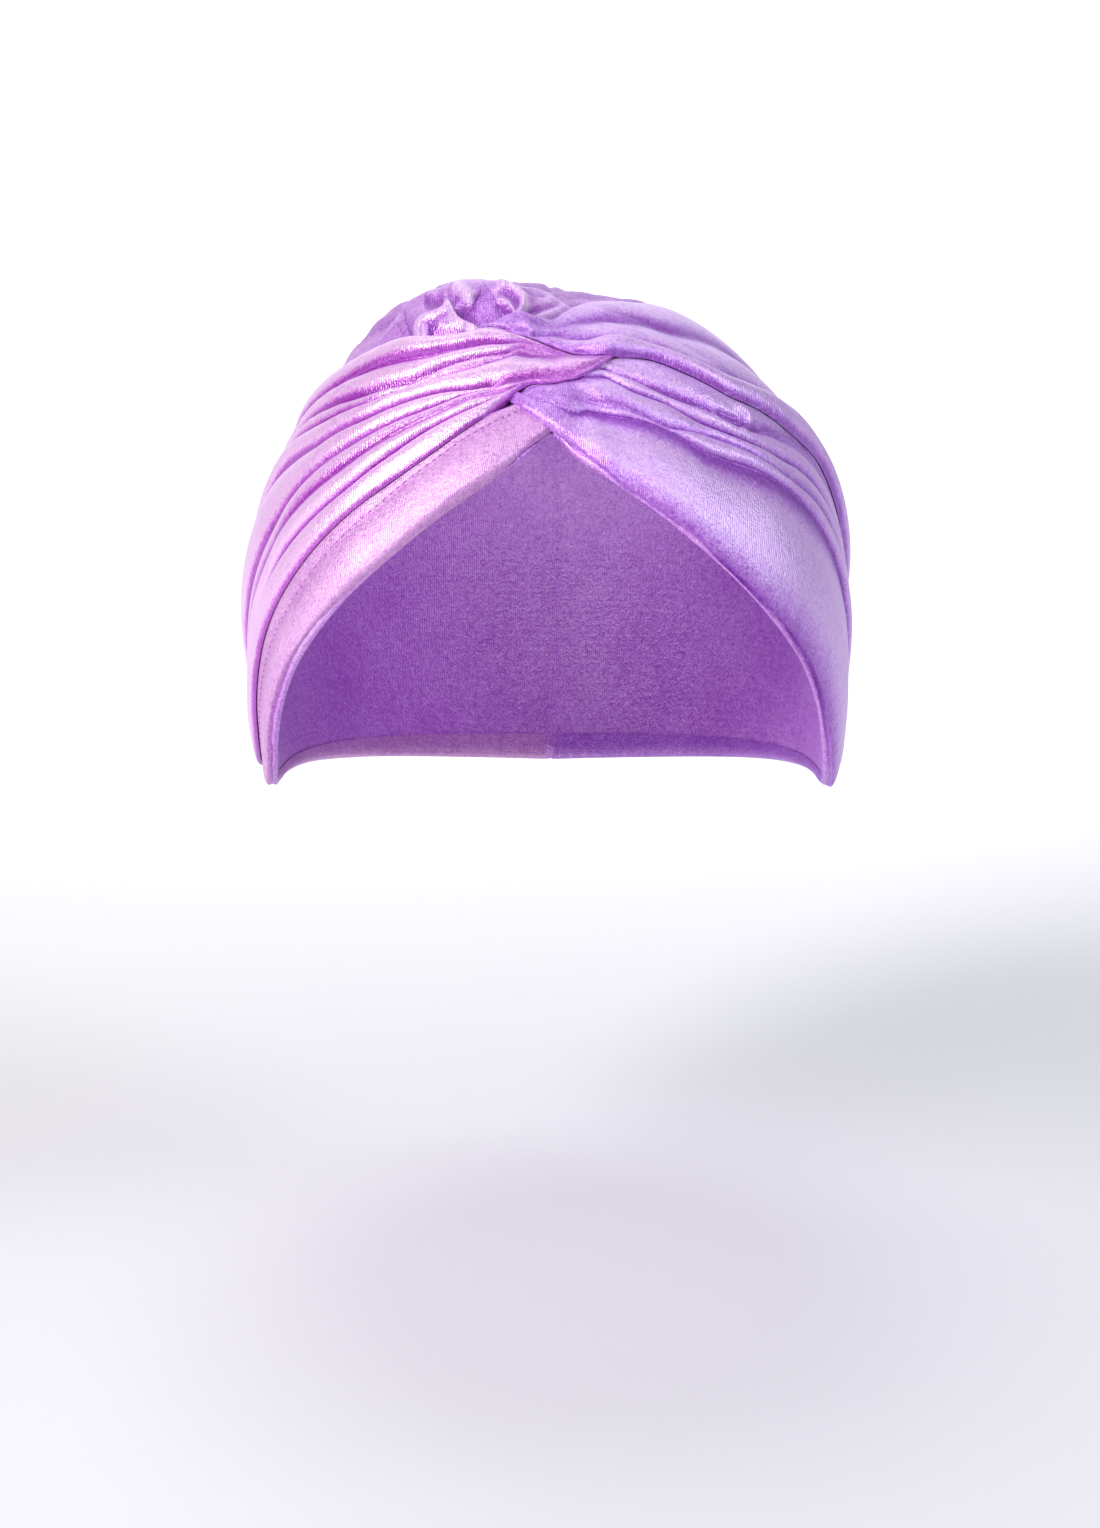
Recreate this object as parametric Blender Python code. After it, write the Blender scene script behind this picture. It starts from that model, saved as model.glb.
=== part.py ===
"""Turban headwrap: a stretch cap with two pleated wraps that cross over the forehead.

Units are metres. Z is up, the face opening looks along -Y and -X is the viewer's left.
The origin is the highest point of the hollow, where the crown of a head bears.
"""
import bpy
import numpy as np
from mathutils import Vector
from mathutils.bvhtree import BVHTree

# Hollow that the head fills
HEAD_HALF_WIDTH = 0.078
HEAD_FRONT = 0.094
HEAD_BACK = 0.102
HEAD_RISE = 0.090
HEAD_DROP = 0.130
HEAD_ROUNDNESS = 2.15
HEAD_CENTRE = np.array([0.0, 0.0, -HEAD_RISE])

# Cloth
CAP_WALL = 0.0013
WRAP_WALL = 0.0015
LAYER_GAP = 0.0006
FOLD_HEIGHT = 0.0040
FOLD_SLOPE = 0.42
SEAM_FLATTENING = 0.45
RIM_REVEAL = 0.0010
APEX_RISE = 3.9
APEX_SPREAD = 3.5

# Line over the crown where the two sides meet, as angles up from straight ahead
CROWN_LINE_FRONT = 78.0
CROWN_LINE_BACK = 155.0
CROWN_LINE_REACH = 0.22

# Edge of the opening: name, azimuth from the front, elevation from the head centre
RIM = (
    ("apex", 0.0, 38.0),
    ("notch", 3.5, 37.5),
    ("brow", 7.7, 35.6),
    ("forehead", 12.4, 32.6),
    ("hairline", 19.2, 27.7),
    ("upper temple", 26.0, 22.2),
    ("temple", 33.4, 15.9),
    ("eye", 40.6, 9.4),
    ("cheekbone", 48.4, 2.0),
    ("cheek", 55.0, -5.4),
    ("jaw", 61.3, -13.8),
    ("lobe", 67.0, -20.4),
    ("ear", 76.0, -25.5),
    ("behind ear", 90.0, -28.0),
    ("neck", 130.0, -28.5),
    ("nape", 180.0, -30.0),
)

# Each wrap is laid out along the rim (stations, 0 at the middle of the forehead and 1 at the back seam;
# below 0 is past the middle) and across it (0 at the rim, 1 on the crown line). A row is one crease:
# its place across at each station, how high its floor stands, the height of the roll above it,
# where that roll is highest, and the stations between which the crease is open.

HEM_STATIONS = (-0.020, 0.000, 0.050, 0.130, 0.200, 0.300, 0.450, 0.700, 0.998)
HEM_ROWS = (
    # name, across at each station, floor, roll, lean, opens, closes
    ("rim edge", (0.190, 0.098, 0.000, 0.000, 0.000, 0.000, 0.000, 0.000, 0.000), 0.00, 0.10, 0.5, -1, 2),
    ("sewn edge", (0.290, 0.285, 0.255, 0.165, 0.127, 0.100, 0.090, 0.104, 0.115), 0.00, 0.00, 0.5, -1, 2),
)

LEFT_STATIONS = (-0.110, -0.070, 0.000, 0.038, 0.060, 0.130, 0.200, 0.300, 0.450, 0.700, 0.998)
LEFT_ROWS = (
    ("lower edge", (0.460, 0.415, 0.320, 0.320, 0.242, 0.139, 0.103, 0.078, 0.066, 0.080, 0.092),
     0.00, 0.75, 0.50, -1.00, 2.00),
    ("deep valley", (0.462, 0.417, 0.322, 0.325, 0.290, 0.222, 0.160, 0.139, 0.125, 0.172, 0.215),
     0.00, 0.95, 0.45, 0.03, 0.90),
    ("ridge crease", (0.466, 0.421, 0.326, 0.327, 0.317, 0.281, 0.240, 0.212, 0.204, 0.297, 0.365),
     0.35, 0.85, 0.55, 0.05, 0.80),
    ("band crease", (0.468, 0.423, 0.328, 0.341, 0.341, 0.319, 0.283, 0.330, 0.329, 0.439, 0.525),
     0.10, 1.00, 0.40, 0.04, 0.90),
    ("soft line", (0.478, 0.449, 0.495, 0.502, 0.490, 0.369, 0.320, 0.385, 0.430, 0.576, 0.675),
     0.62, 0.65, 0.50, 0.00, 0.80),
    ("top crease", (0.489, 0.461, 0.516, 0.538, 0.529, 0.420, 0.380, 0.440, 0.527, 0.712, 0.815),
     0.30, 0.30, 0.50, 0.06, 0.80),
    ("upper edge", (0.494, 0.469, 0.553, 0.575, 0.554, 0.432, 0.404, 0.493, 0.624, 0.837, 0.936),
     0.00, 0.00, 0.50, -1.00, 2.00),
)

RIGHT_LOWER_STATIONS = (-0.050, -0.030, 0.000, 0.040, 0.073, 0.130, 0.200, 0.285, 0.450, 0.700, 0.998)
RIGHT_LOWER_ROWS = (
    ("rim edge", (0.285, 0.210, 0.090, 0.018, 0.000, 0.000, 0.000, 0.000, 0.000, 0.000, 0.000),
     0.10, 0.30, 0.50, -1.00, 2.00),
    ("panel crease", (0.367, 0.277, 0.205, 0.223, 0.236, 0.224, 0.205, 0.215, 0.192, 0.252, 0.298),
     0.05, 0.60, 0.45, -0.04, 0.85),
    ("pocket crease", (0.371, 0.304, 0.305, 0.371, 0.378, 0.302, 0.251, 0.289, 0.311, 0.394, 0.458),
     0.00, 0.75, 0.50, 0.05, 0.90),
    ("loop crease", (0.376, 0.316, 0.350, 0.404, 0.412, 0.331, 0.276, 0.335, 0.373, 0.472, 0.548),
     0.00, 0.70, 0.55, 0.06, 0.21),
    ("tucked edge", (0.384, 0.342, 0.390, 0.446, 0.470, 0.450, 0.358, 0.398, 0.432, 0.556, 0.638),
     0.00, 0.00, 0.50, -1.00, 2.00),
)

RIGHT_UPPER_STATIONS = (-0.120, -0.060, 0.000, 0.040, 0.073, 0.130, 0.200, 0.300, 0.450, 0.700, 0.998)
RIGHT_UPPER_ROWS = (
    ("lower edge", (0.465, 0.535, 0.605, 0.506, 0.434, 0.415, 0.326, 0.366, 0.389, 0.520, 0.598),
     0.00, 0.55, 0.50, -1.00, 2.00),
    ("light pleat", (0.483, 0.552, 0.624, 0.615, 0.568, 0.482, 0.388, 0.412, 0.468, 0.635, 0.726),
     0.55, 0.20, 0.50, -0.10, 0.80),
    ("back pleat", (0.520, 0.592, 0.695, 0.700, 0.672, 0.595, 0.520, 0.515, 0.570, 0.746, 0.842),
     0.60, 0.10, 0.50, -0.06, 0.80),
    ("upper edge", (0.532, 0.610, 0.796, 0.800, 0.790, 0.740, 0.690, 0.652, 0.696, 0.852, 0.936),
     0.00, 0.00, 0.50, -1.00, 2.00),
)

# Swells of the cap under the gathered crown: name, azimuth, elevation, spread in degrees, share of a fold
CROWN_SWELLS = (
    ("left of the tuck", -62.0, 66.0, 17.0, 0.70),
    ("left of the crown", -103.0, 65.0, 16.0, 1.75),
    ("behind the tuck", -100.0, 83.0, 15.0, 0.50),
    ("top of the crown", 180.0, 79.0, 14.0, 0.35),
    ("right of the crown", 116.0, 71.5, 7.0, 0.55),
    ("back of the crown", 180.0, 52.0, 34.0, 0.45),
)

# Twisted tuck of cloth: where it sits and half its size
TUCK_AZIMUTH = -23.8
TUCK_ELEVATION = 66.9
TUCK_HALF_WIDTH = 0.027
TUCK_HALF_LENGTH = 0.023
TUCK_SHIFT = (-0.0040, 0.0060)
TUCK_SWELL = 0.0036
TUCK_EDGE = 0.5

# Dents of the tuck, places and sizes as shares of its half width:
# name, right, up, half width, half length, depth and rim as shares of a fold, softness of the rim
TUCK_DENTS = (
    ("pocket", 0.000, 0.040, 0.330, 0.380, 0.85, 0.42, 0.30),
    ("pouch", -0.440, -0.150, 0.230, 0.170, 0.55, 0.40, 0.34),
)

# Rolls of the tuck: name, start and end as right and up, how far the middle bows out, half width, height
TUCK_ROLLS = (
    ("inner coil", 0.070, 0.250, 0.250, -0.300, 0.110, 0.075, 0.42),
    ("lip", -0.350, 0.130, -0.150, -0.330, -0.040, 0.085, 0.40),
    ("crown fold", -0.560, 0.620, 0.080, 0.560, 0.120, 0.160, 0.40),
)

# How finely each piece is divided
CAP_SPOKES = 44
CAP_RINGS = 11
WRAP_STEPS = 36
HEM_STEPS = 36
LINES_PER_ROLL = 4
LINES_PER_HEM = 2
TUCK_CELLS = 18
FINE_STEPS = 6

COLOURS = {
    "crown_cap": (0.420, 0.160, 0.520, 1.0),
    "left_hem_band": (0.780, 0.480, 0.780, 1.0),
    "left_wrap": (0.720, 0.380, 0.800, 1.0),
    "right_lower_wrap": (0.620, 0.400, 0.840, 1.0),
    "right_upper_wrap": (0.600, 0.390, 0.830, 1.0),
    "top_tuck": (0.660, 0.330, 0.790, 1.0),
}


def unit(vectors):
    """Scale vectors to length one."""
    return vectors / np.linalg.norm(vectors, axis=-1, keepdims=True)


def head_direction(azimuth, elevation):
    """Direction from the head centre for angles in degrees; azimuth 0 looks out of the face."""
    azimuth, elevation = np.broadcast_arrays(np.radians(azimuth), np.radians(elevation))
    x = np.sin(azimuth) * np.cos(elevation)
    y = -np.cos(azimuth) * np.cos(elevation)
    return np.stack([x, y, np.sin(elevation)], axis=-1)


def head_radius(direction):
    """Distance from the head centre to the hollow's wall along each direction."""
    depth = np.where(direction[..., 1] < 0, HEAD_FRONT, HEAD_BACK)
    height = np.where(direction[..., 2] > 0, HEAD_RISE, HEAD_DROP)
    total = np.abs(direction[..., 0] / HEAD_HALF_WIDTH) ** HEAD_ROUNDNESS
    total = total + np.abs(direction[..., 1] / depth) ** HEAD_ROUNDNESS
    total = total + np.abs(direction[..., 2] / height) ** HEAD_ROUNDNESS
    return total ** (-1.0 / HEAD_ROUNDNESS)


def on_head(direction, height):
    """Point at a height above the hollow's wall."""
    return HEAD_CENTRE + direction * (head_radius(direction) + height)[..., None]


def curve(stations, values, at):
    """Smooth curve through a table that never overshoots its rows."""
    x = np.asarray(stations, float)
    y = np.asarray(values, float)
    step = np.diff(x)
    slope = np.diff(y) / step
    tangent = np.zeros_like(y)
    tangent[0] = slope[0]
    tangent[-1] = slope[-1]
    same = slope[:-1] * slope[1:] > 0
    safe = np.where(same, slope[:-1] * slope[1:], 1.0)
    weight_a = 2 * step[1:] + step[:-1]
    weight_b = step[1:] + 2 * step[:-1]
    mean = (weight_a + weight_b) * safe / np.where(same, weight_a * slope[1:] + weight_b * slope[:-1], 1.0)
    tangent[1:-1] = np.where(same, mean, 0.0)
    at = np.clip(np.asarray(at, float), x[0], x[-1])
    cell = np.clip(np.searchsorted(x, at, side="right") - 1, 0, len(x) - 2)
    t = (at - x[cell]) / step[cell]
    start = (1 + 2 * t) * (1 - t) ** 2 * y[cell] + t * (1 - t) ** 2 * step[cell] * tangent[cell]
    end = t * t * (3 - 2 * t) * y[cell + 1] + t * t * (t - 1) * step[cell] * tangent[cell + 1]
    return start + end


def ease(start, end, at):
    """0 before start, 1 after end, smooth between."""
    t = np.clip((at - start) / (end - start), 0.0, 1.0)
    return t * t * (3 - 2 * t)


def rim_stations():
    """Share of the rim's length at each row of the rim table."""
    places = np.array([on_head(head_direction(-row[1], row[2]), np.float64(0.0)) for row in RIM])
    lengths = np.linalg.norm(np.diff(places, axis=0), axis=1)
    return np.concatenate([[0.0], np.cumsum(lengths)]) / lengths.sum()


RIM_STATIONS = rim_stations()
RIM_AZIMUTHS = [row[1] for row in RIM]
RIM_ELEVATIONS = [row[2] for row in RIM]


def wrap_direction(side, along, across):
    """Direction of a place on a wrap. Side is -1 for the viewer's left and 1 for the right."""
    along, across = np.broadcast_arrays(np.asarray(along, float), np.asarray(across, float))
    reach = np.abs(along)
    sign = side * np.where(along < 0, -1.0, 1.0)
    azimuth = curve(RIM_STATIONS, RIM_AZIMUTHS, reach) * sign
    rim = head_direction(azimuth, curve(RIM_STATIONS, RIM_ELEVATIONS, reach))
    sweep = 1.0 - np.exp(-(reach / CROWN_LINE_REACH) ** 2)
    angle = np.radians(CROWN_LINE_FRONT + (CROWN_LINE_BACK - CROWN_LINE_FRONT) * sweep)
    crown = np.stack([np.zeros_like(angle), -np.cos(angle), np.sin(angle)], axis=-1)
    turn = np.arccos(np.clip((rim * crown).sum(axis=-1), -1.0, 1.0))
    low = np.sin((1 - across) * turn)[..., None] * rim
    high = np.sin(across * turn)[..., None] * crown
    return unit(low + high)


def wrap_lines(stations, rows, per_roll, along):
    """Places across of every grid line at each station along, and the roll each line belongs to."""
    creases = np.array([curve(stations, row[1], along) for row in rows])
    shares = np.arange(per_roll) / per_roll
    across = []
    roll = []
    for index in range(len(rows) - 1):
        for share in shares:
            across.append(creases[index] * (1 - share) + creases[index + 1] * share)
            roll.append((index, share))
    across.append(creases[-1])
    roll.append((len(rows) - 2, 1.0))
    return creases, np.array(across).T, roll


def fold_relief(rows, creases, roll, along, width_scale):
    """Height of the folds above the layer below, for every station and grid line."""
    relief = np.zeros((len(along), len(roll)))
    floors = []
    for row in rows:
        opened = ease(row[5] - 0.03, row[5] + 0.03, along) * (1 - ease(row[6] - 0.06, row[6] + 0.06, along))
        floors.append((row[2], opened))
    heights = []
    for index in range(len(rows) - 1):
        width = (creases[index + 1] - creases[index]) * width_scale
        full = rows[index][3] * FOLD_HEIGHT
        pressed = 1 - SEAM_FLATTENING * ease(0.55, 1.0, along)
        heights.append(pressed * full * width / (width + full / FOLD_SLOPE))
    for column, (index, share) in enumerate(roll):
        lean = rows[index][4]
        warped = share ** (np.log(0.5) / np.log(lean))
        arch = (1 - np.abs(2 * warped - 1) ** 2.4) ** 0.72
        before = heights[max(index - 1, 0)]
        after = heights[min(index + 1, len(heights) - 1)]
        start = crease_height(floors[index], np.minimum(before, heights[index]), index == 0)
        end = crease_height(floors[index + 1], np.minimum(after, heights[index]), index == len(heights) - 1)
        base = start * (1 - share) + end * share
        relief[:, column] = base + (heights[index] - base) * arch
    return relief


def crease_height(floor, top, edge):
    """Height of a crease's bottom: its floor where it is open, the rolls' own height where it is closed."""
    share, opened = floor
    if edge:
        return top * share
    return top * (share * opened + (1 - opened))


def surface_below(trees, directions):
    """Height of the outermost cloth below each direction, or 0 where there is none."""
    flat = directions.reshape(-1, 3)
    walls = head_radius(flat)
    heights = np.zeros(len(flat))
    for number, direction in enumerate(flat):
        start = Vector(HEAD_CENTRE + direction * 0.2)
        for tree in trees:
            place = tree.ray_cast(start, Vector(-direction), 0.19)[0]
            if place is not None:
                reach = (np.array(place) - HEAD_CENTRE) @ direction - walls[number]
                heights[number] = max(heights[number], reach)
    return heights.reshape(directions.shape[:-1])


def dilate(fine, step):
    """Largest value within one coarse cell of each coarse grid point."""
    rows = (fine.shape[0] - 1) // step + 1
    columns = (fine.shape[1] - 1) // step + 1
    coarse = np.zeros((rows, columns))
    for i in range(rows):
        for j in range(columns):
            first_row = max(0, i * step - step)
            first_column = max(0, j * step - step)
            near = fine[first_row:i * step + step + 1, first_column:j * step + step + 1]
            coarse[i, j] = near.max()
    return coarse


def relax(levels, passes):
    """Let the cloth bridge steps in the layer below without ever dropping into it."""
    result = levels.copy()
    for _ in range(passes):
        padded = np.pad(result, 1, mode="edge")
        mean = (padded[:-2, 1:-1] + padded[2:, 1:-1] + padded[1:-1, :-2] + padded[1:-1, 2:]) / 4
        result = np.maximum(levels, mean)
    return result


def refine(grid, step):
    """Directions of a finer grid that lies on the facets of a coarse one."""
    for axis in (0, 1):
        count = grid.shape[axis]
        place = np.linspace(0, count - 1, (count - 1) * step + 1)
        cell = np.minimum(place.astype(int), count - 2)
        share = (place - cell).reshape((-1, 1, 1) if axis == 0 else (1, -1, 1))
        grid = np.take(grid, cell, axis) * (1 - share) + np.take(grid, cell + 1, axis) * share
    return unit(grid)


def levels_over(trees, direction):
    """Resting height of a grid of directions over the layers below it."""
    below = surface_below(trees, refine(direction, FINE_STEPS))
    return relax(dilate(below, FINE_STEPS) + LAYER_GAP, 4)


def closed_shell(name, outer, inner, wrapped=False):
    """Solid between two matching grids of points. Wrapped grids join their last column to the first."""
    rows, columns = outer.shape[:2]
    vertices = np.concatenate([outer.reshape(-1, 3), inner.reshape(-1, 3)])
    shift = rows * columns
    faces = []
    last = columns if wrapped else columns - 1
    for i in range(rows - 1):
        for j in range(last):
            k = (j + 1) % columns
            a, b, c, d = i * columns + j, i * columns + k, (i + 1) * columns + k, (i + 1) * columns + j
            faces += [(a, b, c), (a, c, d)]
            faces += [(c + shift, b + shift, a + shift), (d + shift, c + shift, a + shift)]
    border = []
    for j in range(last):
        k = (j + 1) % columns
        border.append((k, j))
        border.append(((rows - 1) * columns + j, (rows - 1) * columns + k))
    if not wrapped:
        for i in range(rows - 1):
            border.append((i * columns, (i + 1) * columns))
            border.append(((i + 1) * columns + columns - 1, i * columns + columns - 1))
    for a, b in border:
        faces += [(a, b, b + shift), (a, b + shift, a + shift)]
    return make_object(name, vertices, faces)


def make_object(name, vertices, faces):
    """Object with its own material, shaded smooth, its faces pointing out."""
    mesh = bpy.data.meshes.new(name)
    mesh.from_pydata([tuple(v) for v in vertices], [], faces)
    mesh.validate()
    mesh.update()
    if signed_volume(mesh) < 0:
        mesh.flip_normals()
    for polygon in mesh.polygons:
        polygon.use_smooth = True
    material = bpy.data.materials.new(name + "_cloth")
    material.use_nodes = True
    shader = material.node_tree.nodes["Principled BSDF"]
    shader.inputs["Base Color"].default_value = COLOURS[name]
    shader.inputs["Roughness"].default_value = 0.45
    mesh.materials.append(material)
    thing = bpy.data.objects.new(name, mesh)
    bpy.context.scene.collection.objects.link(thing)
    return thing


def signed_volume(mesh):
    """Volume that the mesh encloses, negative when its faces point in."""
    points = np.array([v.co for v in mesh.vertices])
    triangles = np.array([p.vertices[:3] for p in mesh.polygons])
    a, b, c = points[triangles[:, 0]], points[triangles[:, 1]], points[triangles[:, 2]]
    return float((a * np.cross(b, c)).sum() / 6)


def tree_of(thing):
    """Search tree of an object's faces."""
    mesh = thing.data
    return BVHTree.FromPolygons([v.co for v in mesh.vertices], [tuple(p.vertices) for p in mesh.polygons])


def rim_slope(azimuth):
    """Elevation of the rim at an azimuth, and how steeply it runs there."""
    reach = np.abs(azimuth)
    here = curve(RIM_AZIMUTHS, RIM_ELEVATIONS, reach)
    ahead = curve(RIM_AZIMUTHS, RIM_ELEVATIONS, reach + 0.5)
    behind = curve(RIM_AZIMUTHS, RIM_ELEVATIONS, reach - 0.5)
    return here, ahead - behind


def crown_relief(direction):
    """Swells of the cap where the gathered crown stands off the head."""
    relief = np.zeros(direction.shape[:-1])
    for _, azimuth, elevation, spread, share in CROWN_SWELLS:
        centre = head_direction(azimuth, elevation)
        angle = np.degrees(np.arccos(np.clip(direction @ centre, -1, 1)))
        relief = relief + share * FOLD_HEIGHT * np.exp(-(angle / spread) ** 2)
    return relief


def build_cap():
    """Hollow cap from the crown down to just inside the rim."""
    azimuths = np.arange(CAP_SPOKES) * 360.0 / CAP_SPOKES
    signed = (azimuths + 180.0) % 360.0 - 180.0
    rim, slope = rim_slope(signed)
    drop = np.degrees(RIM_REVEAL / HEAD_HALF_WIDTH) * np.sqrt(1 + slope ** 2)
    apex = APEX_RISE * np.exp(-(signed / APEX_SPREAD) ** 2)
    low = rim - drop + apex
    shares = np.arange(1, CAP_RINGS + 1) / CAP_RINGS
    elevations = 90.0 - shares[:, None] * (90.0 - low[None, :])
    direction = head_direction(azimuths[None, :], elevations)
    outer = on_head(direction, CAP_WALL + crown_relief(direction))
    inner = on_head(direction, np.zeros(direction.shape[:-1]))
    top = np.array([[0.0, 0.0, 1.0]])
    top_outer = on_head(top, CAP_WALL + crown_relief(top))
    top_inner = on_head(top, np.zeros(1))
    rings, spokes = outer.shape[:2]
    vertices = np.concatenate([outer.reshape(-1, 3), inner.reshape(-1, 3), top_outer, top_inner])
    shift = rings * spokes
    faces = []
    for j in range(spokes):
        k = (j + 1) % spokes
        faces += [(2 * shift, j, k), (2 * shift + 1, k + shift, j + shift)]
        for i in range(rings - 1):
            a, b, c, d = i * spokes + j, i * spokes + k, (i + 1) * spokes + k, (i + 1) * spokes + j
            faces += [(a, d, c), (a, c, b)]
            faces += [(c + shift, d + shift, a + shift), (b + shift, c + shift, a + shift)]
        a, b = (rings - 1) * spokes + j, (rings - 1) * spokes + k
        faces += [(a, a + shift, b + shift), (a, b + shift, b)]
    return make_object("crown_cap", vertices, faces)


def stations_between(first, last, count):
    """Stations from first to last, closer together at the front where the folds meet."""
    share = np.linspace(0, 1, count)
    return first + (last - first) * (0.62 * share + 0.38 * share ** 2)


def build_wrap(name, side, stations, rows, trees, steps=WRAP_STEPS, per_roll=LINES_PER_ROLL, wall=WRAP_WALL):
    """Folded panel between its first and last crease rows, laid over the pieces below."""
    along = stations_between(stations[0], stations[-1], steps)
    creases, across, roll = wrap_lines(stations, rows, per_roll, along)
    rim = wrap_direction(side, along, 0.0)
    crown = wrap_direction(side, along, 1.0)
    length = np.arccos(np.clip((rim * crown).sum(axis=-1), -1, 1)) * HEAD_FRONT
    relief = fold_relief(rows, creases, roll, along, length)

    direction = wrap_direction(side, along[:, None], across)
    levels = levels_over(trees, direction)
    outer = on_head(direction, levels + relief + wall)
    inner = on_head(direction, levels + relief)
    return closed_shell(name, outer, inner)


def tuck_frame():
    """Middle of the tuck and the two directions across it."""
    centre = head_direction(TUCK_AZIMUTH, TUCK_ELEVATION)
    right = unit(np.array([1.0, 0.0, 0.0]) - centre * centre[0])
    return centre, right, np.cross(centre, right)


def tuck_directions(first, second):
    """Directions of a rounded patch from two lists of shares between -1 and 1."""
    u, w = np.meshgrid(first, second, indexing="ij")
    x = TUCK_SHIFT[0] + TUCK_HALF_WIDTH * u * np.sqrt(1 - w * w / 2)
    y = TUCK_SHIFT[1] + TUCK_HALF_LENGTH * w * np.sqrt(1 - u * u / 2)
    centre, right, up = tuck_frame()
    reach = head_radius(centre)
    return unit(centre + (x[..., None] * right + y[..., None] * up) / reach)


def tuck_relief(first, second):
    """Swell, dents and rolls of the tuck."""
    u, w = np.meshgrid(first, second, indexing="ij")
    x = (TUCK_SHIFT[0] + TUCK_HALF_WIDTH * u * np.sqrt(1 - w * w / 2)) / TUCK_HALF_WIDTH
    y = (TUCK_SHIFT[1] + TUCK_HALF_LENGTH * w * np.sqrt(1 - u * u / 2)) / TUCK_HALF_WIDTH
    edge = np.clip(1 - np.maximum(np.abs(u), np.abs(w)) ** 2, 0, 1)
    relief = TUCK_SWELL * edge ** 0.6
    for _, right, up, half_width, half_length, depth, rim, soft in TUCK_DENTS:
        reach = np.sqrt(((x - right) / half_width) ** 2 + ((y - up) / half_length) ** 2)
        relief = relief - depth * FOLD_HEIGHT * np.exp(-(reach * 1.15) ** 4)
        relief = relief + rim * FOLD_HEIGHT * np.exp(-((reach - 1.15) / soft) ** 2)
    for _, x0, y0, x1, y1, bow, half_width, height in TUCK_ROLLS:
        run = np.array([x1 - x0, y1 - y0])
        size = np.linalg.norm(run)
        t = ((x - x0) * run[0] + (y - y0) * run[1]) / size ** 2
        off = ((y - y0) * run[0] - (x - x0) * run[1]) / size - bow * np.sin(np.pi * np.clip(t, 0, 1))
        ends = ease(-0.15, 0.20, t) * (1 - ease(0.80, 1.15, t))
        relief = relief + height * FOLD_HEIGHT * ends * np.exp(-(off / half_width) ** 2)
    return np.maximum(relief, 0.0) * edge ** 0.35


def tuck_wall(first, second):
    """Wall of the tuck, thinner where its edge lies on the cap."""
    u, w = np.meshgrid(first, second, indexing="ij")
    edge = np.clip(1 - np.maximum(np.abs(u), np.abs(w)) ** 2, 0, 1)
    return WRAP_WALL * (TUCK_EDGE + (1 - TUCK_EDGE) * edge ** 0.5)


def build_tuck(trees):
    """Twisted tuck of cloth at the front of the crown."""
    shares = np.linspace(-1, 1, TUCK_CELLS + 1)
    direction = tuck_directions(shares, shares)
    levels = levels_over(trees, direction)
    relief = tuck_relief(shares, shares)
    outer = on_head(direction, levels + relief + tuck_wall(shares, shares))
    inner = on_head(direction, levels + relief)
    return closed_shell("top_tuck", outer, inner)


def build():
    """Whole turban, from the inside out."""
    for thing in list(bpy.data.objects):
        bpy.data.objects.remove(thing, do_unlink=True)
    trees = [tree_of(build_cap())]
    hem = build_wrap("left_hem_band", -1, HEM_STATIONS, HEM_ROWS, trees, HEM_STEPS, LINES_PER_HEM, CAP_WALL)
    trees.append(tree_of(hem))
    trees.append(tree_of(build_tuck(trees)))
    trees.append(tree_of(build_wrap("right_lower_wrap", 1, RIGHT_LOWER_STATIONS, RIGHT_LOWER_ROWS, trees)))
    trees.append(tree_of(build_wrap("left_wrap", -1, LEFT_STATIONS, LEFT_ROWS, trees)))
    build_wrap("right_upper_wrap", 1, RIGHT_UPPER_STATIONS, RIGHT_UPPER_ROWS, trees)


build()
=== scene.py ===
"""Turban headwrap: the pleated satin over the CAD solids, its stitches, light and camera."""

import math
from collections import namedtuple

import bpy
import numpy as np
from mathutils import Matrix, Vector
from mathutils.bvhtree import BVHTree


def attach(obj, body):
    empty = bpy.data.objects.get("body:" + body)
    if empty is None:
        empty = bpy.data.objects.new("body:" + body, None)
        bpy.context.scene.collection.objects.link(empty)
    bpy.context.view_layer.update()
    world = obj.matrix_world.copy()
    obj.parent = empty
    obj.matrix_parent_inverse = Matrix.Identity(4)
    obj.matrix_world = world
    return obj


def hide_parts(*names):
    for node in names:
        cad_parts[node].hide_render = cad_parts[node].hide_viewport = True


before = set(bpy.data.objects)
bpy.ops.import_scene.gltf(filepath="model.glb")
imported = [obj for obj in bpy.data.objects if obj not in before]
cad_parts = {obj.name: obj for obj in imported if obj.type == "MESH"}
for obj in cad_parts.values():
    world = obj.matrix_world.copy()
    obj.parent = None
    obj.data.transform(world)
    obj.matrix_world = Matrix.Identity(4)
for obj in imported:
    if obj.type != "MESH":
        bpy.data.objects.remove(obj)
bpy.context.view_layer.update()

# Hollow that the head fills, as in the part, in metres
HEAD_HALF_WIDTH = 0.078
HEAD_FRONT = 0.094
HEAD_BACK = 0.102
HEAD_RISE = 0.090
HEAD_DROP = 0.130
HEAD_ROUNDNESS = 2.15
HEAD_CENTRE = np.array([0.0, 0.0, -HEAD_RISE])

# Thicknesses, gaps and fold heights in metres
CAP_WALL = 0.0013
CLOTH = 0.0008
LAYER_GAP = 0.0003
FOLD_HEIGHT = 0.0048
# Rise of a ridge over its surroundings at which the satin's painted highlight is full; a crease as deep gets
# the full painted shade
PAINTED_SHADING_RISE = 0.00055
RIM_REVEAL = -0.0008

# Steepest rise of a fold, what its height loses at the back seam, and what is left of it under a layer
FOLD_SLOPE = 0.80
SEAM_FLATTENING = 0.45
SEAM_REACH = (0.55, 1.0)
HIDDEN_HEIGHT = 0.25

# Rise of the cap's rim over the middle of the forehead and its spread, in degrees
APEX_RISE = 3.9
APEX_SPREAD = 3.5

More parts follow.
